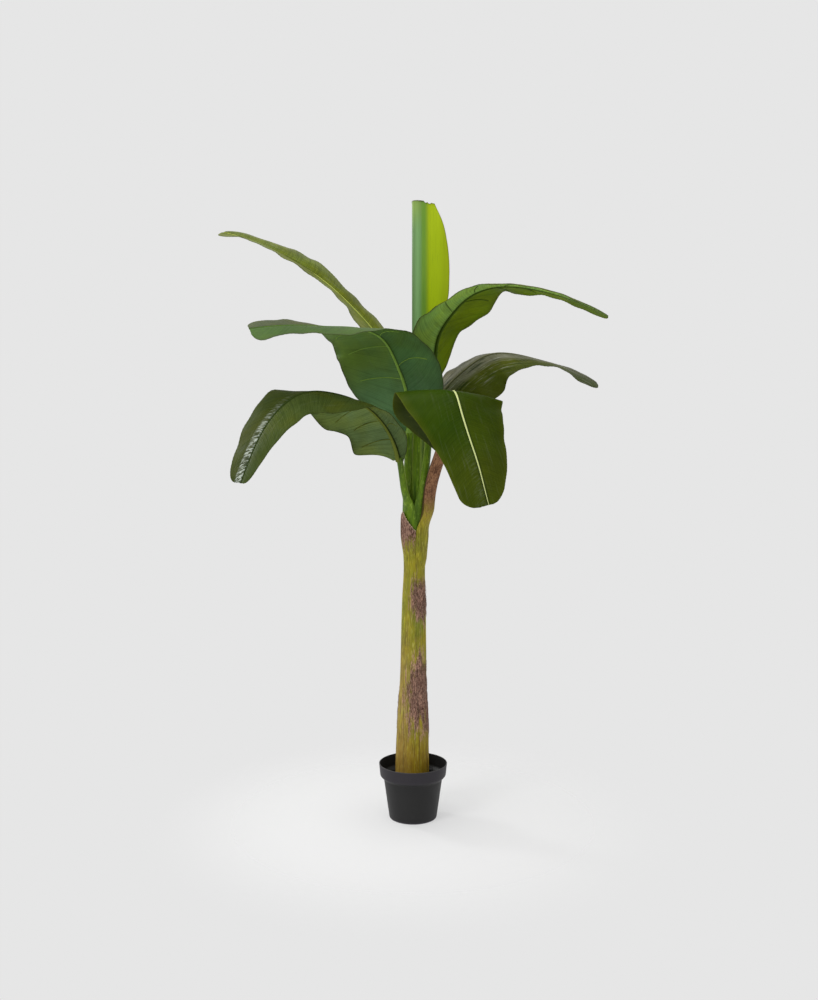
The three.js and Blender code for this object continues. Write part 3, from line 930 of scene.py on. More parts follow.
# Leaf stalks
# Grooved green plastic stalks over steel wire, plugged into the top of the trunk. The front and back
# ones are the outermost, and their feet spread into sheaths that wrap the trunk's top.
STALK_RING = 0.026
STALK_COUNT = 7
FIRST_STALK = math.radians(31.8)
STALK_RISE = 0.35
STALK_PULL = 0.14
STALK_INTO_BLADE = 0.012
STALK_HALF_WIDTH = (0.0128, 0.0122, 0.0114, 0.0106, 0.0098)
STALK_HALF_DEPTH = (0.0112, 0.0106, 0.0098, 0.0092, 0.0086)
STALK_GROOVE = 0.42
GROOVE_HALF_TURN = 0.55
LIP_HALF_TURN = 0.30
STALK_SIDES = 40
STALK_ROWS = 90
CURVE_POINTS = 240
PLUG_LENGTH = 0.04
PLUG_GIRTH = 0.3
WRAP_FOOT = 0.72
WRAP_RISE = 0.05
WRAP_HEM = 0.04
WRAP_DEPTH = 0.004
WRAP_WALL = 0.005
WRAP_GIRTH = 1.70
WRAP_ROWS = 24
BROWN_FROM = 0.835
BROWN_TO = 0.975
# The painted shade on an outer stalk: the turn of its middle and how far round it reaches.
PAINTED_SHADE_TURN = 0.6
PAINTED_SHADE_REACH = 1.2

# length and foot are the blade's. slope and heading are the rib's rise and its direction seen from
# above, in degrees from foot to tip, and roll turns the blade about the rib. left and right are the
# half widths, and the droops say how far each half hangs; without right, both halves are alike.
# stalk is the place in the ring, bow pushes the stalk sideways on its way up, and lean tips it to the
# right. wrap is for a stalk whose foot wraps the trunk's top: its middle and its half turn at the foot
# and higher up, in degrees, how far it stands out, and where it starts and ends to close. wires says
# how far along the rib the first pair of wires leaves it, how far apart the pairs are and how much
# they arch. wave is how high the margins wave, and solids are the ends of the names of the solids
# that stand for the blade.
LEAVES = (
    dict(
        name="upper_left", stalk=2, length=0.790, foot=(-0.030, 0.040, 1.290),
        slope=(65, 56, 47, 42, 36, 29, 27, 20, 14),
        heading=(143, 156, 157, 154, 152, 154, 156, 159, 160),
        roll=(15, 3, 3, 4, 4, 3, 2, 0, 0),
        left=(0.015, 0.084, 0.095, 0.058, 0.050, 0.080, 0.076, 0.068, 0.058),
        right=(0.015, 0.078, 0.074, 0.074, 0.064, 0.080, 0.097, 0.075, 0.066),
        left_droop=(0, 0, 0, 0, 0, -2, -2, 2, 20),
        right_droop=(-10, -8, -8, -8, -13, -18, -12, -9, -12),
        solids=("",),
    ),
    dict(
        name="mid_left", stalk=3, length=0.678, foot=(-0.011, -0.017, 1.143), wires=(0.265, 0.155, 0.055),
        slope=(66, 72, 63, 53, 16, 0, 2, -4, -9),
        heading=(280, 247, 223, 223, 213, 204, 198, 197, 194),
        roll=(-13, 12, 27, 19, 2, -5, -8, -14, -20),
        left=(0.015, 0.092, 0.120, 0.110, 0.097, 0.097, 0.076, 0.060, 0.106),
        right=(0.015, 0.124, 0.166, 0.166, 0.178, 0.128, 0.080, 0.077, 0.050),
        left_droop=(0, 0, 0, 2, 2, 12, 10, 13, 6),
        right_droop=(0, 0, 0, 6, 16, 16, 1, -1, 0),
    ),
    dict(
        name="lower_left", stalk=4, length=0.711, foot=(-0.038, -0.056, 1.062),
        wrap=(206, 85, 58, -0.0028, 0.905, 0.985), bow=(-0.003, 0), wires=(0.13, 0.10, 0.045),
        slope=(62, 53, 37, 17, 3, -32, -52, -64, -67),
        heading=(252, 226, 217, 212, 208, 210, 212, 215, 216),
        roll=(-34, -9, -1, 1, 1, -3, -3, 0, 1),
        left=(0.015, 0.060, 0.066, 0.105, 0.100, 0.093, 0.092, 0.068, 0.040),
        right=(0.020, 0.114, 0.101, 0.131, 0.121, 0.108, 0.092, 0.088, 0.078),
        left_droop=(0, -9, 0, 18, 39, 25, 12, 8, 5),
        right_droop=(40, 66, 58, 43, 15, -9, -6, -4, 0),
        wave=0.0018,
    ),
    dict(
        name="front", stalk=6, length=0.600, foot=(0.080, -0.082, 1.086),
        wrap=(-25, 62, 50, 0.0034, 0.852, 0.925), bow=(-0.0095, 0), lean=0.31,
        slope=(61, 56, 45, 22, -48, -61, -65, -72, -74),
        heading=(285, 281, 277, 277, 288, 302, 315, 321, 334),
        roll=(-12, -8, -1, 1, 4, 16, 28, 36, 49),
        left=(0.015, 0.080, 0.118, 0.136, 0.138, 0.119, 0.100, 0.075, 0.038),
        right=(0.015, 0.100, 0.151, 0.156, 0.146, 0.112, 0.090, 0.078, 0.066),
        left_droop=(0, 1, 6, 12, 18, 13, 11, 9, 5),
        right_droop=(0, 8, 10, 1, 5, 7, 10, 9, 5),
        wave=0.0010,
    ),
    dict(
        name="lower_right", stalk=0, bow=(0.010, 0.002), length=0.655, foot=(0.038, 0.038, 1.180),
        slope=(66, 48, 40, 30, 1, -12, -14, -23, -29),
        heading=(36, 32, 22, 21, 18, 16, 14, 12, 12),
        roll=(-16, -10, -3, -1, 0, 0, -1, -2, -3),
        left=(0.015, 0.056, 0.087, 0.096, 0.095, 0.084, 0.076, 0.080, 0.070),
        right=(0.015, 0.092, 0.127, 0.131, 0.102, 0.078, 0.074, 0.072, 0.060),
        left_droop=(0, -1, -3, 1, 4, 3, 0, -12, -16),
        right_droop=(30, 50, 58, 57, 43, 24, 16, 28, 30),
    ),
    dict(
        name="upper_right", stalk=5, length=0.723, foot=(0.055, 0.006, 1.268),
        wrap=(-36, 70, 57, -0.0045, 0.905, 0.985), bow=(0.010, -0.016), wires=(0.36, 0.13, 0.015),
        slope=(77, 73, 51, 35, 12, -6, -15, -22, -30),
        heading=(295, 280, 316, 316, 324, 332, 339, 345, 348),
        roll=(32, 48, 8, 8, 1, -3, -3, 1, 2),
        left=(0.014, 0.100, 0.116, 0.120, 0.104, 0.090, 0.083, 0.072, 0.050),
        right=(0.014, 0.082, 0.116, 0.124, 0.104, 0.090, 0.083, 0.072, 0.050),
        left_droop=(0, 0, 3, 14, 2, 8, 2, 10, 14),
        right_droop=(0, -5, -5, 2, 5, 4, 1, 0, 0),
    ),
    dict(
        name="back", stalk=1, length=0.640, foot=(0.002, 0.078, 1.150),
        wrap=(95, 62, 50, 0.0034, 0.852, 0.925),
        slope=(60, 51, 36, 19, -4, -27, -48, -57, -62),
        heading=(101, 100, 98, 97, 95, 94, 94, 94, 95),
        roll=(-5, -4, -2, -1, 0, 0, -1, -1, 0),
        left=(0.015, 0.075, 0.108, 0.121, 0.124, 0.117, 0.107, 0.092, 0.060),
        left_droop=(0, 5, 10, 14, 16, 14, 12, 11, 8),
    ),
)
RIB_POINTS = 241


def unit(vectors):
    return vectors / np.linalg.norm(vectors, axis=-1, keepdims=True)


def rib_directions(leaf):
    """Ahead, side and up directions at even steps along a leaf's rib."""
    share = np.linspace(0, 1, RIB_POINTS)
    slope, heading, roll = (np.radians(along(leaf[name], share)) for name in ("slope", "heading", "roll"))
    level = np.stack([-np.sin(heading), np.cos(heading), 0 * share], -1)
    ahead = np.stack([np.cos(heading) * np.cos(slope), np.sin(heading) * np.cos(slope), np.sin(slope)], -1)
    side = level * np.cos(roll)[:, None] + np.cross(ahead, level) * np.sin(roll)[:, None]
    return ahead, side, np.cross(ahead, side)


def rib_line(leaf):
    """Places along a leaf's rib, walked from its foot."""
    ahead = rib_directions(leaf)[0]
    strides = (ahead[1:] + ahead[:-1]) / 2 * leaf["length"] / (RIB_POINTS - 1)
    return np.array(leaf["foot"]) + np.vstack([np.zeros(3), np.cumsum(strides, 0)])


def stalk_line(leaf):
    """Places along the stalk's middle, from inside the trunk's top to the blade."""
    turn = FIRST_STALK + leaf["stalk"] * FULL_TURN / STALK_COUNT
    outward = np.array([math.cos(turn), math.sin(turn), 0])
    foot = np.array([FORK_X, 0, TRUNK_TOP]) + STALK_RING * outward
    ahead, _, up = (direction[0] for direction in rib_directions(leaf))
    tip = np.array(leaf["foot"]) + ahead * STALK_INTO_BLADE
    reach = np.linalg.norm(tip - foot)
    lean = np.array([leaf.get("lean", 0), 0, 0])
    rising = foot + (lean + np.array([0, 0, 1])) * reach * STALK_RISE
    arriving = tip - unit(ahead + lean / 2) * reach * (STALK_PULL + 0.5 * lean[0])
    t = np.linspace(0, 1, CURVE_POINTS)[:, None]
    curve = (1 - t) ** 3 * foot + 3 * (1 - t) ** 2 * t * rising
    curve += 3 * (1 - t) * t ** 2 * arriving + t ** 3 * tip
    gone = np.concatenate([[0], np.cumsum(np.linalg.norm(np.diff(curve, axis=0), axis=1))])
    share = np.linspace(0, 1, STALK_ROWS)
    line = np.stack([np.interp(share * gone[-1], gone, curve[:, k]) for k in range(3)], -1)
    bow = np.array([*leaf.get("bow", (0, 0)), 0])
    return line + bow * np.sin(math.pi * share)[:, None] ** 2, outward, up


def ring_of(centre, side, hollow, half_width, half_depth):
    """Grooved section of a stalk; the groove faces the hollow direction."""
    turns = round_turns(STALK_SIDES)
    shape = 1 - STALK_GROOVE * np.exp(-((turns - math.pi / 2) / GROOVE_HALF_TURN) ** 2)
    across = (half_width * np.cos(turns) * shape)[:, None]
    deep = (half_depth * np.sin(turns) * shape)[:, None]
    return centre + across * side + deep * hollow


def wrap_ring(height, wrap):
    """Section of a stalk's foot where it is a thin sheath round the trunk's top."""
    middle_turn, half_low, half_high, proud, _, closed = wrap
    turns = round_turns(STALK_SIDES)
    reach = np.radians(np.interp(height, (TRUNK_TOP, closed), (half_low, half_high)))
    hem = height - WRAP_HEM * np.cos(turns) ** 2
    out = np.interp(hem, (WRAP_FOOT, WRAP_FOOT + WRAP_RISE), (-WRAP_DEPTH, proud))
    on_trunk = min(height, TRUNK_TOP)
    radius = trunk_radius(on_trunk) + out - WRAP_WALL * (1 + np.sin(turns)) / 2
    at = math.radians(middle_turn) - reach * np.cos(turns)
    x = trunk_middle(on_trunk) + radius * np.cos(at)
    return np.stack([x, radius * np.sin(at), 0 * at + height], -1)


def eased(share):
    """Levels off a share's even rise at both its ends."""
    return share ** 2 * (3 - 2 * share)


def is_outer(leaf):
    """Whether the foot of a leaf's stalk wraps the trunk outside all the others."""
    return "wrap" in leaf and leaf["wrap"][3] > 0


def stalk_rings(leaf):
    """Sections from a stalk's foot to its tip. The foot is plugged in, or it wraps the trunk and
    goes over into the grooved section higher up."""
    line, outward, up = stalk_line(leaf)
    tangents = unit(np.gradient(line, axis=0))
    share = np.linspace(0, 1, STALK_ROWS)[:, None]
    hollow = -outward * (1 - share) + up * share
    side = unit(np.cross(tangents, hollow))
    hollow = np.cross(side, tangents)
    girth = WRAP_GIRTH if is_outer(leaf) else 1
    widths = along(STALK_HALF_WIDTH, share[:, 0]) * girth
    depths = along(STALK_HALF_DEPTH, share[:, 0]) * girth
    rings = [ring_of(*row) for row in zip(line, side, hollow, widths, depths)]
    if "wrap" not in leaf:
        plug = line[0] - np.array([0, 0, PLUG_LENGTH])
        return [plug + (rings[0] - line[0]) * PLUG_GIRTH] + rings
    wrap = leaf["wrap"]
    heights = np.linspace(WRAP_FOOT, TRUNK_TOP, WRAP_ROWS, endpoint=False)
    for row, ring in enumerate(rings):
        height = line[row][2]
        loose = eased(ramp(height, *wrap[4:]))
        rings[row] = ring * loose + wrap_ring(height, wrap) * (1 - loose)
    return [wrap_ring(height, wrap) for height in heights] + rings


def stalk_material():
    """Satin green plastic with long dark streaks, pale mottling and painted highlights along the groove's
    lips.
    """
    material, tree, shader = new_material("green stalk", {"Specular IOR Level": 0.25})
    streak = drawn_out(tree, 0.06, 330, 4, 0.65)
    blotch = drawn_out(tree, 0.35, 110, 4, 0.7)
    broad = drawn_out(tree, 0.12, 60, 2)
    colour = painted(
        mixed(named(tree, "rise").step(0.1, 0.5), (0.145, 0.30, 0.004), (0.15, 0.26, 0.006)),
        (broad.step(0.44, 0.62) * 0.55, (0.035, 0.085, 0.004)),
        (streak.step(0.46, 0.66) * 0.65, (0.045, 0.10, 0.004)),
        (blotch.step(0.55, 0.70) * 0.55, (0.36, 0.54, 0.07)),
        # Painted highlights along the groove's lips.
        (named(tree, "lip") * (streak.step(0.30, 0.55) * 0.55 + 0.40), (0.50, 0.60, 0.14)),
    )
    cover(shader, colour, blotch * 0.3 + 0.30, streak * 0.6 + blotch * 0.4, 0.0012, 0.7)
    return material


STALK_GREEN = stalk_material()
STALK_BARK = bark_material("outer stalk bark", 0.3, (0.105, 0.045, 0.024), (0.34, 0.17, 0.085))


def make_stalk(leaf):
    rings = np.array(stalk_rings(leaf))
    points = rings.reshape(-1, 3)
    faces = capped_faces(len(rings), STALK_SIDES)
    material = STALK_BARK if is_outer(leaf) else STALK_GREEN
    piece = make_piece("petiole_" + leaf["name"], points, faces, material)
    turns = np.tile(round_turns(STALK_SIDES), len(rings))
    brown = ramp(points[:, 2], BROWN_FROM, BROWN_TO)
    lips = (GROOVE_HALF_TURN, math.pi - GROOVE_HALF_TURN)
    set_values(
        piece,
        rise=np.repeat(np.linspace(0, 1, len(rings)), STALK_SIDES),
        # Where the painted highlights along the groove's lips go.
        lip=sum(np.exp(-(wrapped(turns - at) / LIP_HALF_TURN) ** 2) for at in lips),
        dry=brown,
        # Painted shade down the shaded side of an outer stalk, where it is brown.
        groove=np.clip(brown * 3, 0, 1) * np.exp(-((turns - PAINTED_SHADE_TURN) / PAINTED_SHADE_REACH) ** 4),
    )
    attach(piece, "root")
    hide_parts("stalk_" + leaf["name"])


for leaf in LEAVES:
    make_stalk(leaf)


# Leaf blades
# Coated printed cloth, cut to outline, creased along the rib and glued over a tapering plastic rib
# and thin wires that branch to both sides. The wires hold the arch of each blade.
BLADE_THICKNESS = 0.0012
BLADE_BOW = math.radians(15)
BLADE_TIP = 0.06
BLADE_TIP_WIDTH = 0.4
BLADE_COLUMNS = 53
BLADE_WAVE = 0.0014
WAVES_ALONG = (2.3, 4.1, 6.7, 10.5)
BLADE_SOLIDS = ("_inner", "_outer")
VEIN_SPACING = 0.0115
VEIN_DEPTH = 0.00028
PLEAT_DEPTH = 0.0050
CREASE_WIDTH = 0.006
CREASE_DEPTH = 0.0022
FOLD_ANGLE = 0.8
RIB_RADII = (0.0080, 0.0052, 0.0040, 0.0034, 0.0029, 0.0025, 0.0021, 0.0016, 0.0009)
RIB_SINK = 0.70
RIB_SIDES = 14
WIRE_COUNT = 6
WIRE_RADIUS = 0.0011
WIRE_SIDES = 6
WIRE_POINTS = 16
WIRE_STAGGER = 0.03
WIRE_LEAN = 0.07
WIRE_ARCH = 0.055
WIRE_STARTS_AT = 0.02
WIRE_ENDS_IN = 0.74
WIRE_ARCH_CHANGE = 0.02
WIRES_FROM = 0.22
WIRES_APART = 0.14
VEIN_LINES = 0.0065
CLOTH_HEIGHT = 0.0011
TINT_SHARE = 0.30
FAINT_STREAKS = 0.08
# Colours of the printed veins and painted shade, of painted sheen, of painted wrinkle highlights, of
# painted sheen at the margins, of painted sky sheen and of painted glints.
PRINT_AND_SHADE_GREEN = (0.008, 0.020, 0.002)
SHEEN_GREY = (0.23, 0.22, 0.17)
WRINKLE_PAINTED_HIGHLIGHT = (0.34, 0.35, 0.28)
MARGIN_SHEEN_GREY = (0.36, 0.38, 0.22)
SKY_SHEEN_BLUE = (0.13, 0.30, 0.19)
GLINT = (0.55, 0.61, 0.53)
COOL_TINT = (0.78, 0.98, 2.0)
WARM_TINT = (1.25, 1.05, 0.5)
LEAF_STRENGTHS = ("Veining", "Crinkle", "Streaks", "Sheen", "Fringe", "Bluish", "Tipward")
LEAF_LABELS = ("Top right", "Top left", "Under right", "Under left", "Rib", "Rod", "Margin", "Tip")


def tip_share(share):
    """Narrows the blade to a blunt round tip."""
    past = ramp(share, 1 - BLADE_TIP, 1)
    return BLADE_TIP_WIDTH + (1 - BLADE_TIP_WIDTH) * np.sqrt(1 - past ** 2)


def margin_wave(seed, share, height):
    """How far a margin waves up and down along the blade."""
    chance = np.random.default_rng(seed)
    total = np.zeros_like(share)
    for count in WAVES_ALONG:
        total += np.sin(FULL_TURN * (count * chance.uniform(0.85, 1.15) * share + chance.uniform()))
    return height * total * np.sin(math.pi * np.clip(share * 1.02, 0, 1)) ** 0.5


def rib_path(leaf, seed):
    """The rib as a chain of points that carry the blade's directions and sizes."""
    share = np.linspace(0, 1, RIB_POINTS)
    _, side, up = rib_directions(leaf)
    mesh = bpy.data.meshes.new("rib")
    mesh.from_pydata(rib_line(leaf).tolist(), [(k, k + 1) for k in range(RIB_POINTS - 1)], [])
    piece = bpy.data.objects.new("blade_" + leaf["name"], mesh)
    scene.collection.objects.link(piece)
    set_values(piece, rib_radius=along(RIB_RADII, share))
    for half, half_seed in (("left", seed), ("right", seed + 50)):
        set_values(piece, **{
            half + "_width": along(leaf.get(half, leaf["left"]), share) * tip_share(share),
            half + "_hang": np.radians(along(leaf.get(half + "_droop", leaf["left_droop"]), share)),
            half + "_wave": margin_wave(half_seed, share, leaf.get("wave", BLADE_WAVE)),
        })
    for name, vectors in (("side", side), ("up", up)):
        stored = mesh.attributes.new(name, "FLOAT_VECTOR", "POINT")
        stored.data.foreach_set("vector", vectors.astype(np.float32).ravel())
    return piece


def sampled(tree, path, name, at, kind="FLOAT"):
    """The path's stored value at a share of its length."""
    feeds = {"Curves": path, "Value": attribute(tree, name, kind), "Factor": at}
    return output_of(tree, "GeometryNodeSampleCurve", feeds, data_type=kind, mode="FACTOR")


def blade_place(tree, path, at, across, bow):
    """Place, normal and half width of the blade at a share of the rib and of the half width."""
    on_left = across.math("GREATER_THAN", 0.0)
    sign = on_left * 2.0 - 1.0
    reach = across.size()
    chosen = {}
    for name in ("width", "hang", "wave"):
        right = sampled(tree, path, "right_" + name, at)
        chosen[name] = right + (sampled(tree, path, "left_" + name, at) - right) * on_left
    start = chosen["hang"] - bow * 0.5
    bend = start + reach * bow
    out = chosen["width"] * (bend.sin() - start.sin()) / bow
    drop = chosen["width"] * (start.cos() - bend.cos()) / bow
    side = sampled(tree, path, "side", at, "FLOAT_VECTOR")
    up = sampled(tree, path, "up", at, "FLOAT_VECTOR")
    rib = output_of(tree, "GeometryNodeSampleCurve", {"Curves": path, "Factor": at}, at=1, mode="FACTOR")
    normal = up * bend.cos() + side * (sign * bend.sin())
    place = rib + side * (sign * out) - up * drop + normal * (chosen["wave"] * reach * reach)
    return place, normal, chosen["width"]


def stored_as(tree, shape, name, value):
    feeds = {0: shape, 2: name, 3: value}
    return output_of(tree, "GeometryNodeStoreNamedAttribute", feeds, data_type="FLOAT", domain="POINT")


def noise_over(tree, x, y, z, detail, roughness=0.5):
    """Noise over three coordinates that carry its scale themselves."""
    return speckle(tree, joined_vector(tree, x, y, z), 1.0, detail, roughness)


def blade_sheet(tree, given, path):
    """The cloth: a grid laid along the path, raised into veins and given its thickness."""
    sheet = output_of(tree, "GeometryNodeMeshGrid", {0: 1.0, 1: 2.0, 2: RIB_POINTS, 3: BLADE_COLUMNS})
    x, across, _ = split(position(tree))
    at = x + 0.5
    place, normal, width = blade_place(tree, path, at, across, given["Bow"])
    reach = across.size()
    vein = at * given["Length"] - width * reach * (reach * 0.35 + 0.30)
    ripple = (vein * FULL_TURN / given["Vein spacing"]).sin() * given["Vein depth"]
    pleat = noise_over(tree, vein * 26.0, across * 1.6, given["Seed"], 2) - 0.5
    pleat = pleat * (given["Pleat depth"] * (at * -0.75 + 1.0))
    crease = (width * reach / -CREASE_WIDTH).math("EXPONENT") * -CREASE_DEPTH
    raised = (ripple + pleat) * reach.step(0.0, 0.12) + crease
    for name, value in (("along", at), ("across", across), ("vein", vein), ("off", width * reach)):
        sheet = stored_as(tree, sheet, name, value)
    sheet = moved(tree, sheet, place + normal * (raised - given["Thickness"] * 0.5))
    feeds = {0: sheet, 3: given["Thickness"], 4: False}
    upper = output_of(tree, "GeometryNodeExtrudeMesh", feeds, mode="FACES")
    lower = output_of(tree, "GeometryNodeFlipFaces", {0: stored_as(tree, sheet, "underside", 1.0)})
    return upper, lower


def dot(first, second):
    products = [a * b for a, b in zip(split(first), split(second))]
    return products[0] + products[1] + products[2]


def blade_rod(tree, given, path):
    """The rib under the crease, from the stalk to the tip."""
    radius = attribute(tree, "rib_radius")
    up = attribute(tree, "up", "FLOAT_VECTOR")
    here = position(tree)
    lowered = moved(tree, path, here - up * (radius * given["Rib sink"]))
    rod = swept(tree, stored_as(tree, lowered, "level", dot(here, up)), radius, RIB_SIDES)
    below = (dot(here, up) - attribute(tree, "level")).math("LESS_THAN", 0.0)
    return stored_as(tree, rod, "underside", below)


def blade_wires(tree, given, path):
    """Pairs of wires that branch from the rib and run out under the cloth."""
    feet = point_line(tree, given["Wires"], (1.0, 0.0, 0.0))
    strand = point_line(tree, WIRE_POINTS, (0.0, 1.0 / (WIRE_POINTS - 1), 0.0))
    lines = output_of(tree, "GeometryNodeRealizeInstances", {0: copies_on(tree, feet, strand)})
    number, out, _ = split(position(tree))
    number = (number + 0.5).math("FLOOR")
    pair = (number * 0.5).math("FLOOR")
    sign = (number - pair * 2.0) * 2.0 - 1.0
    arch = out * WIRE_LEAN - out * out * (sign * WIRE_ARCH_CHANGE + given["Wire arch"])
    at = pair * given["Wire step"] + given["Wire start"] + sign * WIRE_STAGGER + arch
    across = sign * (out * WIRE_ENDS_IN + WIRE_STARTS_AT)
    place, normal, _ = blade_place(tree, path, at, across, given["Bow"])
    sunk = given["Thickness"] * 0.5 + given["Wire radius"] * 0.5
    curves = as_curve(tree, moved(tree, lines, place - normal * sunk))
    return stored_as(tree, swept(tree, curves, given["Wire radius"], WIRE_SIDES), "underside", 1.0)


def blade_tree(material):
    """A whole blade grown from the chain of points along its rib."""
    tree, given = new_geometry_tree(
        "leaf blade", length=0.7, bow=BLADE_BOW, thickness=BLADE_THICKNESS, vein_spacing=VEIN_SPACING,
        vein_depth=VEIN_DEPTH, pleat_depth=PLEAT_DEPTH, rib_sink=RIB_SINK, wires=WIRE_COUNT,
        wire_radius=WIRE_RADIUS, wire_start=WIRES_FROM, wire_step=WIRES_APART, wire_arch=WIRE_ARCH,
        seed=0.0, cloth=material)
    path = as_curve(tree, given["Geometry"])
    cloth = joined(tree, *blade_sheet(tree, given, path))
    sewn = output_of(tree, "GeometryNodeMergeByDistance", {0: cloth, 2: 1e-6})
    rods = (blade_rod(tree, given, path), blade_wires(tree, given, path))
    whole = joined(tree, sewn, *[stored_as(tree, rod, "woody", 1.0) for rod in rods])
    smooth = output_of(tree, "GeometryNodeSetShadeSmooth", {0: whole, 2: True})
    fold = output_of(tree, "GeometryNodeInputMeshEdgeAngle").math("GREATER_THAN", FOLD_ANGLE)
    creased = output_of(tree, "GeometryNodeSetShadeSmooth", {0: smooth, 1: fold, 2: False}, domain="EDGE")
    finish_tree(tree, creased, given["Cloth"])
    return tree


def leaf_print():
    """The print and weave that all the blades share: veins, a thin rib and a thin margin, and painted
    light: sheen, highlights and shade of wrinkles, glints, and a shadow beside the rib.
    """
    group, given = new_group("leaf print", LEAF_LABELS, LEAF_STRENGTHS, (*PRINT_OUTPUTS, "Coat"))
    across, vein, under, share, off = (
        named(group, name) for name in ("across", "vein", "underside", "along", "off"))
    reach = across.size()
    half = across.step(-0.10, 0.10)
    ridge = noise_over(group, vein * 130.0, across * 1.1, under * 3.0, 2, 0.55)
    fine = noise_over(group, vein * 520.0, across * 5.0, 0.0, 2, 0.6)
    folds = noise_over(group, vein * 230.0, across * 4.0, share * 12.0, 3, 0.65)
    wrinkle_light_and_shade = noise_over(group, share * 7.0, off * 190.0, half, 3, 0.6)
    cloud = speckle(group, object_place(group), 8.0, 3)
    tone = speckle(group, object_place(group), 11.0, 2)
    lines = (vein * (FULL_TURN / VEIN_LINES) + ridge * 5.0).sin() * 0.5 + 0.5
    sheen_band = off.step(0.044, 0.022) * share.step(0.08, 0.30) * share.step(1.0, 0.8)
    streaks = given["Streaks"] * off.step(0.110, 0.055)
    spine = off.step(0.0028, 0.0016) * (under * -1.0 + 1.0) * share.step(1.0, 0.55)
    strip = (off - share * 0.034).step(0.002, -0.008) * off.step(0.0015, 0.005) * across.step(0.04, -0.04)
    crease = given["Crinkle"] * share.step(0.58, 0.90) * strip
    upper = mixed(half, given["Top right"], given["Top left"])
    lower = mixed(half, given["Under right"], given["Under left"])
    tint = mixed(tone.step(0.36, 0.64), COOL_TINT, WARM_TINT)
    colour = painted(
        mixed(TINT_SHARE, mixed(under, upper, lower), tint, "MULTIPLY"),
        # Painted bluish sky sheen on the lower face towards the foot.
        (under * share.step(0.40, 0.12) * given["Bluish"], SKY_SHEEN_BLUE),
        (share.step(0.58, 0.92) * given["Tipward"], given["Tip"]),
        # Painted grey sheen towards the margins.
        (reach.step(0.35, 0.95) * given["Fringe"], MARGIN_SHEEN_GREY),
        # Painted sheen near the rib.
        (sheen_band * given["Sheen"], SHEEN_GREY),
        # Streaks along the rib: painted highlights and painted shade of lengthwise wrinkles.
        (wrinkle_light_and_shade.step(0.54, 0.70) * streaks, WRINKLE_PAINTED_HIGHLIGHT),
        (wrinkle_light_and_shade.step(0.47, 0.34) * streaks, PRINT_AND_SHADE_GREEN),
        (cloud.step(0.66, 0.34) * 0.30, PRINT_AND_SHADE_GREEN),
        (ridge.step(0.56, 0.34) * given["Veining"], PRINT_AND_SHADE_GREEN),
        (lines.power(3.0) * given["Veining"] * 0.8, PRINT_AND_SHADE_GREEN),
        (fine.step(0.50, 0.74) * 0.10, given["Margin"]),
        # Painted shadow along both sides of the rib.
        (off.step(0.0085, 0.0030) * 0.55, PRINT_AND_SHADE_GREEN),
        (spine, given["Rib"]),
        (reach.step(0.80, 1.0) * 0.35, given["Margin"]),
        (reach.step(0.978, 0.992) * 0.75, given["Margin"]),
        (named(group, "woody"), mixed(under, given["Rib"], given["Rod"])),
        # Painted glints in the crinkled strip, with painted shade between them.
        (crease * folds.step(0.47, 0.62) * 0.80, GLINT),
        (crease * folds.step(0.46, 0.38) * 0.6, PRINT_AND_SHADE_GREEN),
    )
    roughness = fine * 0.10 + cloud * 0.14 + under * 0.10 + 0.34
    height = ridge * 0.4 + lines * 0.25 + fine * 0.25 + folds * crease * 3.2
    add_node(group, "NodeGroupOutput", {0: colour, 1: roughness, 2: height, 3: crease})
    return group


LEAF_PRINT = leaf_print()


def blade_material(name, gloss, **values):
    """Printed cloth. The values are the print's own inputs in small letters; top and under colour
    both halves."""
    feeds = {"Streaks": FAINT_STREAKS}
    for label, value in values.items():
        value = value if isinstance(value, float) else opaque(value)
        for socket in (label + "_right", label + "_left") if label in ("top", "under") else (label,):
            feeds[socket.capitalize().replace("_", " ")] = value
    settings = {"Specular IOR Level": gloss, "Coat Roughness": 0.10}
    material, shader, made = printed_material(name, LEAF_PRINT, feeds, CLOTH_HEIGHT, 0.6, settings)
    if "crinkle" in values:
        feed(shader, "Coat Weight", Field(shader.id_data, made.outputs["Coat"]))
    return material


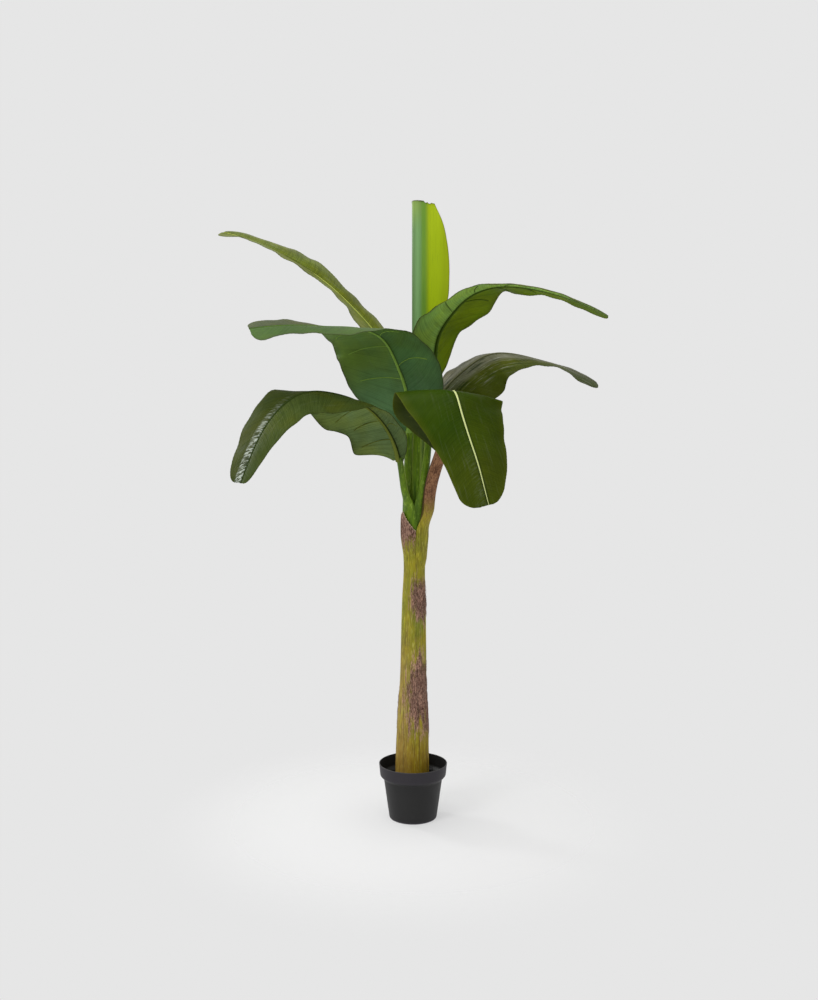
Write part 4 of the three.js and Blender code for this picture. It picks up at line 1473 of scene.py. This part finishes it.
# Left and right halves, seen from above with the tip ahead, on the upper and the lower face. Rib is
# the line on top, rod the rib and wires below. On lower_right the upper face's left half is a painted
# grey sheen, and on upper_right the lower face's right half is lighter as a painted bluish sheen.
LEAF_COLOURS = {
    "upper_left": dict(
        top_right=(0.14, 0.172, 0.008), top_left=(0.165, 0.200, 0.008), under=(0.17, 0.23, 0.02),
        rib=(0.46, 0.52, 0.10), rod=(0.16, 0.20, 0.03),
        margin=(0.085, 0.10, 0.02), tip=(0.15, 0.185, 0.040), veining=0.26, gloss=0.03, streaks=0.3,
        fringe=0.30, tipward=0.4),
    "mid_left": dict(
        top_right=(0.085, 0.100, 0.030), top_left=(0.060, 0.125, 0.010), under_right=(0.165, 0.295, 0.044),
        under_left=(0.108, 0.230, 0.043), rib=(0.075, 0.150, 0.014), rod=(0.26, 0.44, 0.070),
        margin=(0.045, 0.060, 0.012), veining=0.17, gloss=0.12, bluish=0.45),
    "lower_left": dict(
        top_right=(0.046, 0.060, 0.005), top_left=(0.064, 0.086, 0.014), under_right=(0.20, 0.28, 0.080),
        under_left=(0.13, 0.18, 0.05), rib=(0.030, 0.050, 0.008), rod=(0.16, 0.19, 0.032),
        margin=(0.045, 0.060, 0.012), veining=0.22, gloss=0.015, crinkle=1.0),
    "front": dict(
        top_right=(0.029, 0.061, 0.0006), top_left=(0.044, 0.072, 0.0012), under=(0.034, 0.044, 0.003),
        rib=(0.60, 0.66, 0.28), rod=(0.10, 0.13, 0.02),
        margin=(0.080, 0.100, 0.006), tip=(0.090, 0.106, 0.008), veining=0.12, gloss=0.04,
        crinkle=0.06, bluish=0.05, tipward=0.5),
    "lower_right": dict(
        top_right=(0.080, 0.096, 0.003), top_left=(0.110, 0.105, 0.065), under=(0.070, 0.090, 0.010),
        rib=(0.150, 0.150, 0.080), rod=(0.060, 0.070, 0.015),
        margin=(0.045, 0.055, 0.010), tip=(0.072, 0.092, 0.024), veining=0.14, gloss=0.05, streaks=0.75,
        sheen=0.62, tipward=0.75),
    "upper_right": dict(
        top_right=(0.120, 0.170, 0.006), top_left=(0.080, 0.120, 0.004), under_right=(0.31, 0.53, 0.085),
        under_left=(0.17, 0.26, 0.002), rib=(0.045, 0.075, 0.006), rod=(0.060, 0.105, 0.008),
        margin=(0.055, 0.050, 0.008), veining=0.24, gloss=0.06),
    "back": dict(
        top=(0.044, 0.070, 0.004), under=(0.15, 0.25, 0.04), rib=(0.20, 0.24, 0.05), rod=(0.09, 0.16, 0.02),
        margin=(0.045, 0.060, 0.012), veining=0.20, gloss=0.08),
}


def make_blades():
    tree = None
    for number, leaf in enumerate(LEAVES):
        colours = LEAF_COLOURS[leaf["name"]]
        material = blade_material("leaf cloth " + leaf["name"].replace("_", " "), **colours)
        tree = tree or blade_tree(material)
        piece = rib_path(leaf, number)
        start, step, arch = leaf.get("wires", (WIRES_FROM, WIRES_APART, WIRE_ARCH))
        run_tree(piece, tree, length=leaf["length"], seed=float(number * 7), wire_start=start,
                 wire_step=step, wire_arch=arch, cloth=material)
        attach(piece, "root")
        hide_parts(*["leaf_" + leaf["name"] + end for end in leaf.get("solids", BLADE_SOLIDS)])


make_blades()


# Rolled leaf
# The youngest leaf stands up from the middle, still rolled round its own stem: a blue-green tube
# whose free side leaves its front and spreads to the right as a thin yellow-green wing. It is one
# sheet of cloth, torn off and singed brown along the top, and its lower end closes on a green stem.
ROLL_X = 0.014
ROLL_Y = 0.008
ROLL_RADIUS = 0.0168
ROLL_INNER = 0.0125
ROLL_FOOT = 1.31
ROLL_TOP = 1.7955
ROLL_SHOULDER = 1.789
ROLL_WING = (0, 0.004, 0.024, 0.052, 0.069, 0.0725, 0.072, 0.066, 0.054, 0.030)
ROLL_TURN = math.radians(560)
ROLL_BEND = 0.034
ROLL_THICKNESS = 0.0013
ROLL_ROWS = 150
ROLL_TEARS = 26
ROLL_TEAR_HEIGHT = 0.0022
WING_COLUMNS = 60
TUBE_COLUMNS = 200
STEM_RADII = (0.0120, 0.0180, 0.0192, 0.0186, 0.0176, 0.0168)
STEM_FOOT = 0.80
STEM_OVERLAP = 0.06
STEM_LEAN = 0.006
STEM_ROWS = 120
STEM_SIDES = 72
STEM_FOLD = 0.0011
STEM_RIDGE = 0.0004
STEM_WAIST = 0.25
STEM_WAIST_SPAN = (0.86, 0.91)


def rolled_section(share):
    """Across the sheet at each share of its height: the wing from its margin in, then the scroll."""
    turn = np.linspace(0, ROLL_TURN, TUBE_COLUMNS)
    tighter = ramp(turn / ROLL_TURN, 0.4, 1) ** 0.8
    radius = ROLL_RADIUS - (ROLL_RADIUS - ROLL_INNER) * tighter
    closing = 0.80 + 0.20 * ramp(share, 0, 0.12)[:, None] ** 0.6
    girth = closing * (1 + 0.06 * ramp(share, 0.97, 1)[:, None] ** 2)
    tube_x = ROLL_X - radius * girth * np.sin(turn)
    tube_y = ROLL_Y - radius * girth * np.cos(turn)
    out = np.linspace(1, 0, WING_COLUMNS, endpoint=False)
    reach = (ROLL_RADIUS + along(ROLL_WING, share))[:, None]
    wing_x = ROLL_X + reach * out
    bend = eased(ramp(reach * out, 0, ROLL_BEND))
    curl = 0.003 * np.sin(share * 9)[:, None] * out ** 3
    wing_y = ROLL_Y - ROLL_RADIUS * girth + ROLL_RADIUS * bend + curl
    return np.hstack([wing_x, tube_x]), np.hstack([wing_y, tube_y])


def torn_top(columns):
    """Height of the torn upper edge across the sheet: scallops between small brown tears."""
    chance = np.random.default_rng(77)
    spots = np.arange(columns)
    edge = np.zeros(columns)
    for _ in range(ROLL_TEARS):
        middle = chance.uniform(0, columns)
        half = chance.uniform(3, 8)
        edge = np.minimum(edge, -chance.uniform(0.001, 0.0035) * (1 - ((spots - middle) / half) ** 2))
    shoulder = np.clip(1 - spots / WING_COLUMNS, 0, 1) ** 1.4
    return ROLL_TOP + edge - (ROLL_TOP - ROLL_SHOULDER) * shoulder


def rolled_material():
    """Blue-green tube with painted shade on its left and a painted highlight from its middle on,
    yellow-green wing with a thin brown-red margin, brown tears along the top.
    """
    material, tree, shader = new_material("rolled leaf cloth", {"Specular IOR Level": 0.15})
    x, _, z = split(object_place(tree))
    spread = named(tree, "wing")
    fine = drawn_out(tree, 0.03, 420, 2, 0.6)
    cloud = drawn_out(tree, 0.35, 22, 3)
    wing = painted(
        mixed(z.step(1.50, 1.76), (0.38, 0.51, 0.002), (0.41, 0.53, 0.009)),
        (cloud.step(0.35, 0.7) * 0.4, (0.34, 0.46, 0.002)),
        (x.step(ROLL_X + 0.056, ROLL_X + 0.078) * 0.6, (0.29, 0.37, 0.001)),
    )
    colour = painted(
        # Painted shade on the tube's left and a painted highlight from its middle on.
        mixed(x.step(ROLL_X - 0.0135, ROLL_X + 0.001), (0.125, 0.235, 0.085), (0.205, 0.39, 0.145)),
        (z.step(1.70, 1.795) * 0.8, (0.24, 0.36, 0.07)),
        (spread.step(0.10, 0.42), mixed(cloud.step(0.3, 0.7), (0.205, 0.41, 0.050), (0.25, 0.46, 0.055))),
        (spread.step(0.48, 0.95), wing),
        (fine.step(0.5, 0.75) * 0.18, (0.05, 0.14, 0.01)),
        (named(tree, "margin") * 0.9, (0.12, 0.055, 0.012)),
        (named(tree, "tear"), (0.030, 0.018, 0.006)),
        ((z - cloud * 0.03).step(1.366, 1.350), (0.22, 0.17, 0.07)),
    )
    cover(shader, colour, fine * 0.1 + cloud * 0.1 + 0.36, fine, 0.0005, 0.5)
    return material


def make_rolled_leaf():
    columns = WING_COLUMNS + TUBE_COLUMNS
    top = torn_top(columns)
    share = np.linspace(0, 1, ROLL_ROWS)
    height = ROLL_FOOT + share[:, None] * (top - ROLL_FOOT)
    x, y = rolled_section(share)
    points = np.stack([x, y, height], -1)
    faces = grid_faces(ROLL_ROWS, columns, around=False)
    piece = make_piece("rolled_leaf", points.reshape(-1, 3), faces, rolled_material())
    number = np.broadcast_to(np.arange(columns), height.shape)
    wing = ramp(x, ROLL_X, ROLL_X + ROLL_BEND) * (number < WING_COLUMNS)
    set_values(
        piece,
        wing=wing,
        margin=np.exp(-number / 0.9) * (share[:, None] > 0.2),
        tear=np.exp(-((top - height) / ROLL_TEAR_HEIGHT) ** 2),
    )
    wall = piece.modifiers.new("wall", "SOLIDIFY")
    wall.thickness = ROLL_THICKNESS
    wall.offset = 0
    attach(piece, "root")
    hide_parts("spear_leaf")


def make_rolled_stem():
    share = np.linspace(0, 1, STEM_ROWS)[:, None]
    turns = round_turns(STEM_SIDES)
    fold = np.sin(turns * 2.5 + 0.6)
    radius = along(STEM_RADII, share) * 0.97 + STEM_FOLD * np.abs(fold) + STEM_RIDGE * np.sin(turns * 9)
    radius *= 1 - STEM_WAIST * ramp(share, *STEM_WAIST_SPAN)
    x = FORK_X + (ROLL_X - FORK_X) * share + radius * np.cos(turns)
    y = ROLL_Y * np.clip(share * 1.4, 0, 1) + STEM_LEAN * np.sin(math.pi * share) + radius * np.sin(turns)
    height = STEM_FOOT + share * (ROLL_FOOT + STEM_OVERLAP - STEM_FOOT) + 0 * radius
    points = np.stack([x, y, height], -1).reshape(-1, 3)
    piece = make_piece("rolled_stem", points, capped_faces(STEM_ROWS, STEM_SIDES), STALK_GREEN)
    # lip marks painted highlights along the stem's folds.
    set_values(piece, rise=np.repeat(share, STEM_SIDES), lip=np.tile(0.35 * fold ** 16, STEM_ROWS))
    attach(piece, "root")
    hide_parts("spear_stem")


make_rolled_leaf()
make_rolled_stem()
